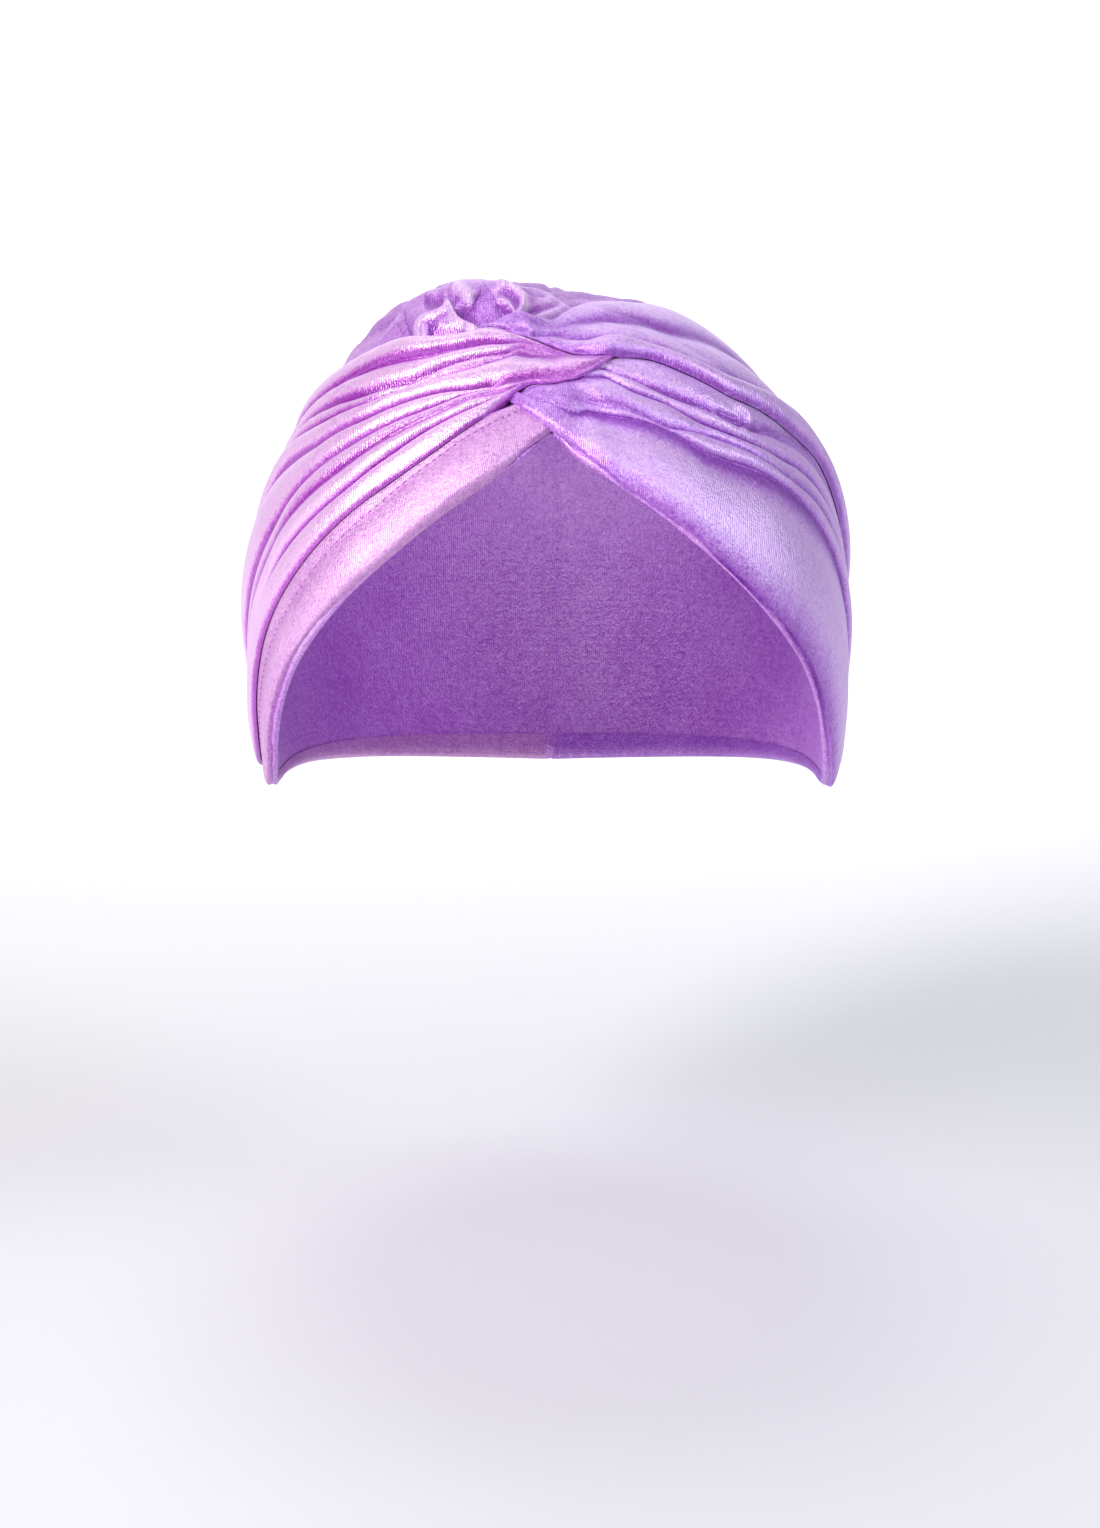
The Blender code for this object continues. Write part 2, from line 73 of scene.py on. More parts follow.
# Line over the crown where the wraps end: degrees up from the face, and how soon it goes back
CROWN_LINE_FRONT = 78.0
CROWN_LINE_BACK = 155.0
CROWN_LINE_REACH = 0.22

# Rim of the opening from the forehead to the nape: azimuth and elevation in degrees
RIM = (
    ("apex", 0.0, 38.0),
    ("notch", 3.5, 37.5),
    ("brow", 7.7, 35.6),
    ("forehead", 12.4, 32.6),
    ("hairline", 19.2, 27.7),
    ("upper temple", 26.0, 22.2),
    ("temple", 33.4, 15.9),
    ("eye", 40.6, 9.4),
    ("cheekbone", 48.4, 2.0),
    ("cheek", 55.0, -5.4),
    ("jaw", 61.3, -13.8),
    ("lobe", 67.0, -20.4),
    ("ear", 76.0, -25.5),
    ("behind ear", 90.0, -28.0),
    ("neck", 130.0, -28.5),
    ("nape", 180.0, -30.0),
)

# Share of the cloth's thickness that shows at a wrap's lower and upper edge, from the front to the back
EDGE_STATIONS = (0.00, 0.12, 0.20, 0.30, 0.60, 1.00)
HEM_EDGES = ((0.90,) * 6, (0.20,) * 6)
LEFT_EDGES = ((0.70, 0.45, 0.35, 0.35, 0.35, 0.35), (0.40, 0.30, 0.20, 0.20, 0.20, 0.20))
RIGHT_LOWER_EDGES = ((1.00,) * 6, (0.30, 0.30, 0.20, 0.20, 0.20, 0.20))
RIGHT_UPPER_EDGES = ((0.60, 0.60, 0.25, 0.10, 0.05, 0.05), (0.25, 0.20, 0.15, 0.10, 0.10, 0.10))

# A row is one crease: its place across at each station, its floor, the height of the roll above it,
# how steeply that roll rises at its lower and its upper side, and where the crease opens and closes.
Crease = namedtuple("Crease", "name places floor height low high opens closes")
CREASE_OPENING = 0.03
CREASE_CLOSING = 0.06
HEM_STATIONS = (-0.020, 0.000, 0.050, 0.130, 0.200, 0.300, 0.450, 0.700, 0.998)
HEM_ROWS = (
    ("rim edge", (0.190, 0.102, 0.004, 0.004, 0.006, 0.010, 0.012, 0.006, 0.004),
     0.00, 0.22, 1.0, 0.3, -1, 2),
    ("stitch line", (0.262, 0.245, 0.202, 0.131, 0.087, 0.061, 0.055, 0.060, 0.070),
     0.70, 0.18, 0.6, 0.6, -1, 2),
    ("sewn edge", (0.290, 0.285, 0.255, 0.165, 0.127, 0.100, 0.090, 0.104, 0.115),
     0.00, 0.00, 1.0, 1.0, -1, 2),
)

LEFT_STATIONS = (
    -0.110, -0.080, -0.045, 0.000, 0.025, 0.050, 0.072, 0.095,
    0.130, 0.165, 0.200, 0.230, 0.300, 0.450, 0.700, 0.998,
)
LEFT_ROWS = (
    ("lower edge",
     (0.460, 0.430, 0.374, 0.320, 0.332, 0.276, 0.218, 0.184,
      0.150, 0.128, 0.112, 0.102, 0.086, 0.070, 0.082, 0.092),
     0.00, 0.55, 0.80, 0.80, -1.00, 2.00),
    ("deep valley",
     (0.462, 0.432, 0.376, 0.322, 0.336, 0.306, 0.272, 0.251,
      0.222, 0.186, 0.160, 0.151, 0.139, 0.125, 0.172, 0.215),
     0.00, 1.05, 0.95, 0.30, 0.05, 0.95),
    ("thin crease",
     (0.464, 0.434, 0.378, 0.324, 0.338, 0.308, 0.302, 0.286,
      0.254, 0.226, 0.204, 0.194, 0.179, 0.168, 0.241, 0.297),
     0.80, 0.95, 0.60, 0.70, 0.15, 0.70),
    ("ridge crease",
     (0.466, 0.436, 0.380, 0.326, 0.340, 0.310, 0.326, 0.314,
      0.281, 0.258, 0.240, 0.230, 0.212, 0.204, 0.297, 0.365),
     0.25, 0.95, 0.95, 0.50, 0.06, 0.85),
    ("band crease",
     (0.468, 0.438, 0.382, 0.328, 0.342, 0.341, 0.341, 0.329,
      0.319, 0.298, 0.283, 0.284, 0.330, 0.329, 0.439, 0.525),
     0.05, 1.10, 0.95, 0.25, 0.06, 0.95),
    ("soft line",
     (0.478, 0.447, 0.460, 0.495, 0.501, 0.503, 0.461, 0.416,
      0.369, 0.337, 0.320, 0.328, 0.385, 0.430, 0.576, 0.675),
     0.55, 0.95, 0.90, 0.30, 0.04, 0.85),
    ("soft valley",
     (0.480, 0.449, 0.462, 0.509, 0.522, 0.530, 0.480, 0.448,
      0.397, 0.347, 0.339, 0.353, 0.411, 0.478, 0.645, 0.746),
     0.25, 0.95, 0.20, 0.85, 0.06, 0.80),
    ("top crease",
     (0.482, 0.451, 0.478, 0.540, 0.552, 0.555, 0.520, 0.490,
      0.435, 0.398, 0.392, 0.396, 0.444, 0.527, 0.712, 0.815),
     0.20, 0.70, 1.00, 0.70, 0.06, 0.85),
    ("upper edge",
     (0.484, 0.465, 0.533, 0.600, 0.605, 0.596, 0.576, 0.548,
      0.481, 0.445, 0.452, 0.456, 0.503, 0.624, 0.837, 0.936),
     0.00, 0.00, 1.0, 1.0, -1.00, 2.00),
)

RIGHT_LOWER_STATIONS = (
    -0.050, -0.030, 0.000, 0.020, 0.044, 0.070, 0.100, 0.130,
    0.165, 0.200, 0.230, 0.285, 0.450, 0.700, 0.998,
)
RIGHT_LOWER_ROWS = (
    ("rim edge",
     (0.292, 0.222, 0.100, 0.052, 0.021, 0.010, 0.011, 0.012,
      0.012, 0.012, 0.012, 0.012, 0.006, 0.004, 0.004),
     0.10, 0.36, 1.05, 0.30, -1.00, 2.00),
    ("panel crease",
     (0.367, 0.277, 0.205, 0.181, 0.228, 0.236, 0.234, 0.224,
      0.200, 0.205, 0.210, 0.215, 0.192, 0.252, 0.298),
     0.05, 0.60, 1.05, 0.60, -0.04, 0.90),
    ("branch crease",
     (0.369, 0.291, 0.239, 0.251, 0.265, 0.264, 0.250, 0.232,
      0.238, 0.232, 0.230, 0.247, 0.241, 0.315, 0.374),
     0.55, 0.55, 0.90, 0.80, 0.11, 0.70),
    ("pocket crease",
     (0.371, 0.304, 0.305, 0.340, 0.374, 0.379, 0.330, 0.302,
      0.263, 0.251, 0.259, 0.289, 0.311, 0.394, 0.458),
     0.00, 0.80, 0.90, 0.70, 0.05, 0.95),
    ("loop crease",
     (0.373, 0.313, 0.350, 0.381, 0.406, 0.413, 0.376, 0.331,
      0.296, 0.276, 0.293, 0.335, 0.373, 0.472, 0.548),
     0.00, 0.85, 0.85, 0.50, 0.06, 0.20),
    ("tucked edge",
     (0.375, 0.342, 0.390, 0.421, 0.450, 0.470, 0.474, 0.450,
      0.394, 0.358, 0.355, 0.398, 0.432, 0.556, 0.638),
     0.00, 0.00, 1.0, 1.0, -1.00, 2.00),
)

RIGHT_UPPER_STATIONS = (
    -0.120, -0.100, -0.080, -0.060, -0.035, 0.000, 0.021, 0.045, 0.073,
    0.100, 0.130, 0.165, 0.200, 0.240, 0.300, 0.450, 0.700, 0.998,
)
RIGHT_UPPER_ROWS = (
    ("lower edge",
     (0.535, 0.552, 0.565, 0.582, 0.591, 0.570, 0.544, 0.509, 0.456,
      0.434, 0.415, 0.363, 0.326, 0.326, 0.366, 0.389, 0.520, 0.598),
     0.00, 0.80, 0.80, 0.35, -1.00, 2.00),
    ("light pleat",
     (0.541, 0.563, 0.582, 0.604, 0.620, 0.632, 0.630, 0.610, 0.568,
      0.530, 0.482, 0.425, 0.388, 0.395, 0.412, 0.468, 0.635, 0.726),
     0.42, 0.50, 0.50, 0.40, -0.10, 0.85),
    ("back pleat",
     (0.549, 0.576, 0.603, 0.640, 0.672, 0.700, 0.700, 0.700, 0.672,
      0.640, 0.595, 0.548, 0.520, 0.517, 0.515, 0.570, 0.746, 0.842),
     0.42, 0.35, 0.50, 0.40, -0.06, 0.85),
    ("upper edge",
     (0.557, 0.590, 0.626, 0.674, 0.722, 0.770, 0.795, 0.800, 0.790,
      0.770, 0.740, 0.710, 0.690, 0.670, 0.652, 0.696, 0.852, 0.936),
     0.00, 0.00, 1.0, 1.0, -1.00, 2.00),
)

# A swell of the cap: azimuth, elevation and spread in degrees, and its height as a share of a fold's
CROWN_SWELLS = (
    ("left of the tuck", -62.0, 66.0, 17.0, 0.70),
    ("left of the crown", -103.0, 65.0, 16.0, 1.50),
    ("behind the tuck", -100.0, 83.0, 15.0, 0.50),
    ("top of the crown", 180.0, 79.0, 14.0, 0.30),
    ("right of the crown", 116.0, 71.5, 7.0, 0.55),
    ("back of the crown", 180.0, 52.0, 34.0, 0.45),
)

# Pleats that run from the tuck over the crown: where they begin and fade out in radians from the tuck,
# how many a radian round it holds, and the heights of the broad and the narrow ones in metres
GATHER_START = (0.16, 0.42)
GATHER_FADE = (1.0, 2.2)
GATHER_COUNT = 9.0
GATHER_HEIGHTS = (0.0011, 0.0005)

# Cap: its grid, and the depth and spread of its seam outside and of the seam's ridge inside, in metres
CAP_SPOKES = 300
CAP_OUTER_RINGS = 130
CAP_INNER_RINGS = 60
CAP_SEAM = (0.0007, 0.010)
CAP_SEAM_RIDGE = (0.0012, 0.012)

# The tuck's middle in degrees, and its half sizes, shift, swell and sunk border in metres
TUCK_AZIMUTH = -23.8
TUCK_ELEVATION = 66.9
TUCK_HALF_WIDTH = 0.027
TUCK_HALF_LENGTH = 0.023
TUCK_SHIFT = (-0.0040, 0.0060)
TUCK_SWELL = 0.0037
TUCK_SINK = 0.0004

# The tuck's grid, the cells round a place that its ridges are measured against, and how strongly its folds'
# relief is painted into its colour as shade in the hollows and highlight on the rises
TUCK_GRID = 261
TUCK_PICK = 4
TUCK_SURROUND = 16
TUCK_PAINTED_SHADING = 300.0

# How flat the wraps press the tuck, and over how many pixels of the photograph
TUCK_PRESS = 0.85
TUCK_PRESS_REACH = 12.0

# Where the wraps start to cover the tuck, as column and row of the photograph
TUCK_COVER = (
    (380, 352), (420, 349), (445, 344), (470, 337), (482, 331),
    (500, 326), (520, 321), (545, 312), (565, 304),
)

# A fold is a line on the photograph: height in mm, sharpness (1 a crease, 2 a round roll), its reach in
# pixels to the right and to the left of the way the line runs, and the line's columns and rows.
TUCK_FOLDS = (
    ("crown fold", 0.9, 2, 9, 9,
     ((418, 297), (430, 289), (445, 284), (460, 281), (478, 281), (495, 283), (510, 287))),
    ("left hollow", -0.8, 2, 8, 8, ((422, 303), (434, 301), (444, 300))),
    ("pocket hollow", -3.0, 1.6, 3, 20,
     ((453, 308), (462, 317), (475, 322), (492, 321), (506, 315), (514, 307))),
    ("pale ridge", 1.3, 2, 6, 7, ((450, 288), (458, 291), (466, 296), (474, 301))),
    ("pocket rim", 1.6, 2, 5, 4,
     ((494, 285), (508, 287), (517, 292), (523, 299), (523, 307), (519, 315), (514, 321))),
    ("rim valley", -0.5, 2, 3, 3,
     ((494, 292), (504, 293), (513, 298), (517, 304), (516, 311), (512, 318))),
    ("inner coil", 0.7, 2, 2.2, 1.8,
     ((489, 300), (497, 299), (504, 301), (509, 305), (512, 310), (512, 317))),
    ("lip", 1.5, 2, 5.5, 1.4,
     ((443, 299), (449, 305), (453, 312), (460, 319), (466, 323), (472, 327), (480, 330))),
    ("pouch hollow", -3.0, 2, 6, 6, ((425, 329), (438, 330), (452, 331), (465, 333))),
    ("pouch rim", 1.4, 2, 5, 2.5,
     ((450, 304), (445, 310), (436, 315), (426, 319), (420, 324),
      (418, 331), (419, 339), (424, 346), (432, 349))),
    ("pouch floor", -0.5, 1, 2, 3, ((426, 334), (436, 336), (446, 337), (458, 336), (470, 334))),
    ("lower lip", 0.4, 2, 2.5, 3, ((424, 345), (440, 341), (455, 338), (470, 335))),
    ("outer crease", -0.5, 1, 1.5, 2.5, ((403, 309), (404, 318), (407, 328), (411, 337), (414, 345))),
    ("second crease", -0.4, 1, 1.5, 2.0, ((396, 322), (400, 331), (405, 340), (411, 348))),
    ("rim crease", -0.6, 1, 2, 3, ((510, 284), (519, 288), (527, 292), (536, 295), (548, 296))),
    ("upper valley", -0.8, 2, 3, 4, ((518, 316), (530, 313), (540, 309), (550, 306), (562, 302))),
)
UPPER_FOLDS = (
    ("wedge valley", -0.9, 2, 2.5, 3, ((527, 335), (540, 333), (552, 333), (568, 333))),
    ("dark line", -0.7, 1, 1.2, 2.0, ((474, 329), (490, 328), (505, 328), (520, 329), (532, 330))),
    ("long pleat", -0.6, 2, 4, 5, ((600, 306), (630, 315), (660, 329), (690, 346), (715, 362))),
)
LOWER_FOLDS = (
    ("short crease", -0.8, 1, 1.5, 1.5,
     ((603, 360), (615, 362), (627, 365), (640, 368), (652, 371), (662, 374))),
    ("loop", 0.7, 2, 3, 3, ((732, 404), (742, 409), (749, 417), (748, 426), (738, 429))),
    ("loop hollow", -0.7, 2, 2.5, 2.5, ((715, 409), (726, 414), (738, 419))),
)

# Shares of a fold's line where it fades in and out
FOLD_START = (-0.02, 0.16)
FOLD_END = (0.84, 1.02)

# Sides of the head, and each wrap's stations along and grid lines in a roll
VIEWER_LEFT = -1
VIEWER_RIGHT = 1
HEM_GRID = (420, 14)
LOWER_GRID = (460, 36)
LEFT_GRID = (460, 24)
UPPER_GRID = (460, 44)

# Heights of the fine wrinkles in metres, and the roll that is high enough to carry them whole
WRINKLE = 0.00028
LOWER_WRINKLE = 0.00020
HEM_WRINKLE = 0.00006
WRINKLED_ROLL = 0.0012

# Stations between which a wrap comes out from under the layer that hides it
NEVER_HIDDEN = (-0.4, -0.3)
LOWER_HIDDEN = (0.0, 0.045)
LEFT_HIDDEN = (-0.01, 0.07)
UPPER_HIDDEN = (0.0, 0.13)

# How a wrap lies on the layers below: the cells it bridges, the cells its edges are evened over, how far
# those edges reach as shares across, and the share along in which its front end thins out
DRAPE_CELLS = (3, 6)
RIM_CELLS = 9
EDGE_CELLS = 2
EDGE_CLOSE = 0.05
EDGE_REACH = 0.12
FRONT_THINNING = 0.022

# Ray that finds the layers below: where it starts from the head centre and how far in it goes, in metres
RAY_START = 0.20
RAY_LENGTH = 0.19

# Hem turned in at the rim: its depth, where it begins, and the places of its five lines as shares of
# the depth, their heights over the hollow, and how far each lies under the cloth before the turn
TURNED_HEM = 0.006
TURN_START = (0.035, 0.065)
TURN_SHARES = (1.0, 0.5, 0.08, -0.03, -0.05)
TURN_HEIGHTS = (-0.0003, -0.0005, -0.0006, -0.0001, 0.0006)
TURN_DEPTHS = (0.00010, 0.00008, 0.00006, 0.00004, 0.00002)

# Stitches of the hem in metres, the rings of one as share of its half length and size, and where they run
STITCH_PITCH = 0.0020
STITCH_HALF_LENGTH = 0.00058
STITCH_HALF_WIDTH = 0.00022
STITCH_HALF_HEIGHT = 0.00024
STITCH_SINK = 0.00022
STITCH_LIFT = 0.00005
STITCH_SIDES = 6
STITCH_RINGS = ((-1.0, 0.35), (-0.75, 0.85), (0.0, 1.0), (0.75, 0.85), (1.0, 0.35))
STITCH_RUN = (0.030, 0.985)

# A satin: colour of the painted highlight on its ridges, of its plain cloth and of the painted shade in its
# creases, its roughness, and how strongly its folds paint that highlight and shade
# All four are the one fabric, coloured for where the lamps fall: the right is cooler and bluer as painted
# light of the blue fill on that side, the left pinker with stronger painted shading on the key-light side,
# and the hem paler as painted highlight of the key light.
LEFT_SATIN = ((0.92, 0.56, 0.94), (0.66, 0.14, 0.76), (0.36, 0.01, 0.46), 0.30, 1.15)
RIGHT_SATIN = ((0.84, 0.53, 0.97), (0.55, 0.18, 0.82), (0.28, 0.02, 0.48), 0.42, 0.85)
CROWN_SATIN = ((0.87, 0.54, 0.96), (0.57, 0.15, 0.78), (0.28, 0.01, 0.44), 0.36, 1.00)
HEM_SATIN = ((0.88, 0.56, 0.88), (0.70, 0.30, 0.72), (0.42, 0.08, 0.50), 0.48, 0.30)
SHEEN_TINT = (0.62, 0.66, 1.0)
# The stitches' thread, darkened to deep purple as painted shade of the dimples it sinks into.
THREAD_AND_DIMPLE_SHADE_COLOUR = (0.42, 0.14, 0.46)

# The satin's noise in features per metre, the pitch of its ribs in metres, and its bump in metres
GRAIN_SCALE = 1450.0
MOTTLE_SCALE = 480.0
BROAD_SCALE = 30.0
RIB_PITCH = 0.00060
CROSS_PITCH = 0.00075
BUMP_DISTANCE = 0.00016

# Camera at the photograph's angle: metres from the head centre, degrees above it, lens and sensor in mm
CAMERA_DISTANCE = 0.752
CAMERA_ELEVATION = 10.0
CAMERA_LENS = 64.0
SENSOR_WIDTH = 36.0

# The photograph in pixels, and how far back it shows the head, in metres
FRAME_HEIGHT = 1528
SUBJECT_ROW = 640
FRAME_MIDDLE = 549
SEEN_UNTIL = 0.02

# Room in metres: its floor curves up into the wall behind the head
FLOOR_LEVEL = -0.272
FLOOR_FRONT = -3.0
FLOOR_BACK = 2.2
CURVE_RADIUS = 1.2
CURVE_STEPS = 12
WALL_PLACE = 3.4
WALL_TOP = 5.0
ROOM_HALF_WIDTH = 5.0
FLOOR_COLOUR = (0.86, 0.86, 0.87)
AIR_COLOUR = (0.93, 0.94, 1.0)
AIR_STRENGTH = 0.12

# A light: its place, the point that it looks at, its two sides, its power and its colour
HEAD_MIDDLE = (0.0, 0.0, -0.075)
LIGHTS = (
    ("key", (-0.86, -0.90, 0.55), HEAD_MIDDLE, (0.45, 0.85), 20.0, (1.0, 0.975, 0.97)),
    ("fill", (1.15, -0.50, 0.60), HEAD_MIDDLE, (0.50, 0.60), 8.0, (0.80, 0.86, 1.0)),
    ("top", (-0.10, 0.25, 1.00), HEAD_MIDDLE, (0.5, 0.5), 3.0, (0.93, 0.94, 1.0)),
    ("wall_light", (0.0, 0.9, 1.6), (0.0, WALL_PLACE, 0.5), (1.5, 0.8), 90.0, (1.0, 1.0, 1.0)),
)

SEED = 7


def unit(vectors):
    """Scale vectors to length one."""
    return vectors / np.linalg.norm(vectors, axis=-1, keepdims=True)


def head_direction(azimuth, elevation):
    """Direction from the head centre for angles in degrees."""
    azimuth, elevation = np.broadcast_arrays(np.radians(azimuth), np.radians(elevation))
    x = np.sin(azimuth) * np.cos(elevation)
    y = -np.cos(azimuth) * np.cos(elevation)
    return np.stack([x, y, np.sin(elevation)], axis=-1)


def head_radius(direction):
    """Distance from the head centre to the hollow's wall."""
    depth = np.where(direction[..., 1] < 0, HEAD_FRONT, HEAD_BACK)
    height = np.where(direction[..., 2] > 0, HEAD_RISE, HEAD_DROP)
    total = np.abs(direction[..., 0] / HEAD_HALF_WIDTH) ** HEAD_ROUNDNESS
    total = total + np.abs(direction[..., 1] / depth) ** HEAD_ROUNDNESS
    total = total + np.abs(direction[..., 2] / height) ** HEAD_ROUNDNESS
    return total ** (-1.0 / HEAD_ROUNDNESS)


def on_head(direction, height):
    """Point at a height above the hollow's wall."""
    return HEAD_CENTRE + direction * (head_radius(direction) + height)[..., None]


def curve(stations, values, at):
    """Smooth curve through a table that never overshoots its rows."""
    x = np.asarray(stations, float)
    y = np.asarray(values, float)
    step = np.diff(x)
    slope = np.diff(y) / step
    tangent = np.zeros_like(y)
    tangent[0] = slope[0]
    tangent[-1] = slope[-1]
    same = slope[:-1] * slope[1:] > 0
    safe = np.where(same, slope[:-1] * slope[1:], 1.0)
    weight_a = 2 * step[1:] + step[:-1]
    weight_b = step[1:] + 2 * step[:-1]
    mean = (weight_a + weight_b) * safe / np.where(same, weight_a * slope[1:] + weight_b * slope[:-1], 1.0)
    tangent[1:-1] = np.where(same, mean, 0.0)
    at = np.clip(np.asarray(at, float), x[0], x[-1])
    cell = np.clip(np.searchsorted(x, at, side="right") - 1, 0, len(x) - 2)
    t = (at - x[cell]) / step[cell]
    start = (1 + 2 * t) * (1 - t) ** 2 * y[cell] + t * (1 - t) ** 2 * step[cell] * tangent[cell]
    end = t * t * (3 - 2 * t) * y[cell + 1] + t * t * (t - 1) * step[cell] * tangent[cell + 1]
    return start + end


def ease(start, end, at):
    """0 before start, 1 after end, smooth between."""
    t = np.clip((at - start) / (end - start), 0.0, 1.0)
    return t * t * (3 - 2 * t)


def rim_stations():
    """Share of the rim's length at each row of the rim table."""
    ground = np.float64(0.0)
    places = np.array([on_head(head_direction(-azimuth, elevation), ground) for _, azimuth, elevation in RIM])
    lengths = np.linalg.norm(np.diff(places, axis=0), axis=1)
    return np.concatenate([[0.0], np.cumsum(lengths)]) / lengths.sum(), float(lengths.sum())


RIM_STATIONS, RIM_LENGTH = rim_stations()
RIM_AZIMUTHS = [azimuth for _, azimuth, _ in RIM]
RIM_ELEVATIONS = [elevation for _, _, elevation in RIM]


def wrap_direction(side, along, across):
    """Direction of a place on a wrap, by shares of the rim's length and of the way to the crown line."""
    along, across = np.broadcast_arrays(np.asarray(along, float), np.asarray(across, float))
    reach = np.abs(along)
    sign = side * np.where(along < 0, -1.0, 1.0)
    azimuth = curve(RIM_STATIONS, RIM_AZIMUTHS, reach) * sign
    rim = head_direction(azimuth, curve(RIM_STATIONS, RIM_ELEVATIONS, reach))
    sweep = 1.0 - np.exp(-(reach / CROWN_LINE_REACH) ** 2)
    angle = np.radians(CROWN_LINE_FRONT + (CROWN_LINE_BACK - CROWN_LINE_FRONT) * sweep)
    crown = np.stack([np.zeros_like(angle), -np.cos(angle), np.sin(angle)], axis=-1)
    turn = np.arccos(np.clip((rim * crown).sum(axis=-1), -1.0, 1.0))
    low = np.sin((1 - across) * turn)[..., None] * rim
    high = np.sin(across * turn)[..., None] * crown
    return unit(low + high)


def value_noise(x, y, seed):
    """Smooth random field between -1 and 1 with features one unit wide."""
    table = np.random.default_rng(seed).uniform(-1, 1, (256, 256))
    x0 = np.floor(x).astype(int)
    y0 = np.floor(y).astype(int)
    fx = x - x0
    fy = y - y0
    fx = fx * fx * (3 - 2 * fx)
    fy = fy * fy * (3 - 2 * fy)
    a = table[x0 % 256, y0 % 256]
    b = table[(x0 + 1) % 256, y0 % 256]
    c = table[x0 % 256, (y0 + 1) % 256]
    d = table[(x0 + 1) % 256, (y0 + 1) % 256]
    return (a * (1 - fx) + b * fx) * (1 - fy) + (c * (1 - fx) + d * fx) * fy


def roll_profile(per_roll, low, high):
    """Shares across and heights of one roll: a cycloid, so that creases are sharp and ridges round."""
    u = np.arange(per_roll) / per_roll
    steep = low[:, None] * (1 - u) + high[:, None] * u
    x = u - steep * np.sin(2 * np.pi * u) / (2 * np.pi)
    y = (1 - np.cos(2 * np.pi * u)) / 2
    return x, np.broadcast_to(y, x.shape)


def wrap_surface(stations, rows, along, per_roll, length, hidden):
    """Places across and heights of a folded wrap for every station and grid line."""
    rows = [Crease(*row) for row in rows]
    creases = np.array([curve(stations, row.places, along) for row in rows])
    pressed = 1 - SEAM_FLATTENING * ease(*SEAM_REACH, along)
    pressed = pressed * (HIDDEN_HEIGHT + (1 - HIDDEN_HEIGHT) * ease(*hidden, along))
    opened = []
    tops = []
    for row in rows:
        opening = ease(row.opens - CREASE_OPENING, row.opens + CREASE_OPENING, along)
        closing = ease(row.closes - CREASE_CLOSING, row.closes + CREASE_CLOSING, along)
        opened.append(opening * (1 - closing))
    for index in range(len(rows) - 1):
        width = (creases[index + 1] - creases[index]) * length
        full = rows[index].height * FOLD_HEIGHT
        tops.append(pressed * full * width / (width + full / FOLD_SLOPE))
    floors = [tops[0] * rows[0].floor]
    for index in range(1, len(rows) - 1):
        top = np.minimum(tops[index - 1], tops[index])
        floors.append(top * (rows[index].floor * opened[index] + 1 - opened[index]))
    floors.append(np.zeros_like(along))
    across = []
    heights = []
    for index in range(len(rows) - 1):
        low = rows[index].low * (opened[index] if index else 1.0) * np.ones_like(along)
        high = rows[index].high * (opened[index + 1] if index < len(rows) - 2 else 1.0) * np.ones_like(along)
        x, y = roll_profile(per_roll, low, high)
        width = (creases[index + 1] - creases[index])[:, None]
        across.append(creases[index][:, None] + width * x)
        share = np.arange(per_roll)[None, :] / per_roll
        base = floors[index][:, None] * (1 - share) + floors[index + 1][:, None] * share
        heights.append(base + (tops[index][:, None] - base) * y)
    across.append(creases[-1][:, None])
    heights.append(floors[-1][:, None])
    return np.concatenate(across, axis=1), np.concatenate(heights, axis=1)


def surface_below(trees, directions):
    """Height of the outermost cloth below each direction."""
    flat = directions.reshape(-1, 3)
    walls = head_radius(flat)
    heights = np.zeros(len(flat))
    for number, direction in enumerate(flat):
        start = Vector(HEAD_CENTRE + direction * RAY_START)
        back = Vector(-direction)
        for tree in trees:
            place = tree.ray_cast(start, back, RAY_LENGTH)[0]
            if place is not None:
                reach = (np.array(place) - HEAD_CENTRE) @ direction - walls[number]
                heights[number] = max(heights[number], reach)
    return heights.reshape(directions.shape[:-1])


def shifted(values, i, j):
    """Grid moved by whole cells, its border repeated."""
    rows = np.clip(np.arange(values.shape[0]) + i, 0, values.shape[0] - 1)
    columns = np.clip(np.arange(values.shape[1]) + j, 0, values.shape[1] - 1)
    return values[np.ix_(rows, columns)]


def drape(levels, spread):
    """Let the cloth bridge the steps below it: widen each rise along and across, then smooth it."""
    wide = levels
    for i, j, count in ((1, 0, spread[0]), (0, 1, spread[1])):
        for _ in range(count):
            wide = np.maximum.reduce([shifted(wide, -i, -j), wide, shifted(wide, i, j)])
    for i, j, count in ((1, 0, spread[0]), (0, 1, spread[1])):
        for _ in range(3 * count):
            wide = (shifted(wide, -i, -j) + 2 * wide + shifted(wide, i, j)) / 4
    return wide


def upsample(coarse, rows, columns):
    """Stretch a coarse grid over a finer one."""
    x = np.linspace(0, coarse.shape[0] - 1, rows)
    y = np.linspace(0, coarse.shape[1] - 1, columns)
    i = np.minimum(x.astype(int), coarse.shape[0] - 2)
    j = np.minimum(y.astype(int), coarse.shape[1] - 2)
    fx = (x - i)[:, None]
    fy = (y - j)[None, :]
    top = coarse[np.ix_(i, j)] * (1 - fy) + coarse[np.ix_(i, j + 1)] * fy
    low = coarse[np.ix_(i + 1, j)] * (1 - fy) + coarse[np.ix_(i + 1, j + 1)] * fy
    return top * (1 - fx) + low * fx


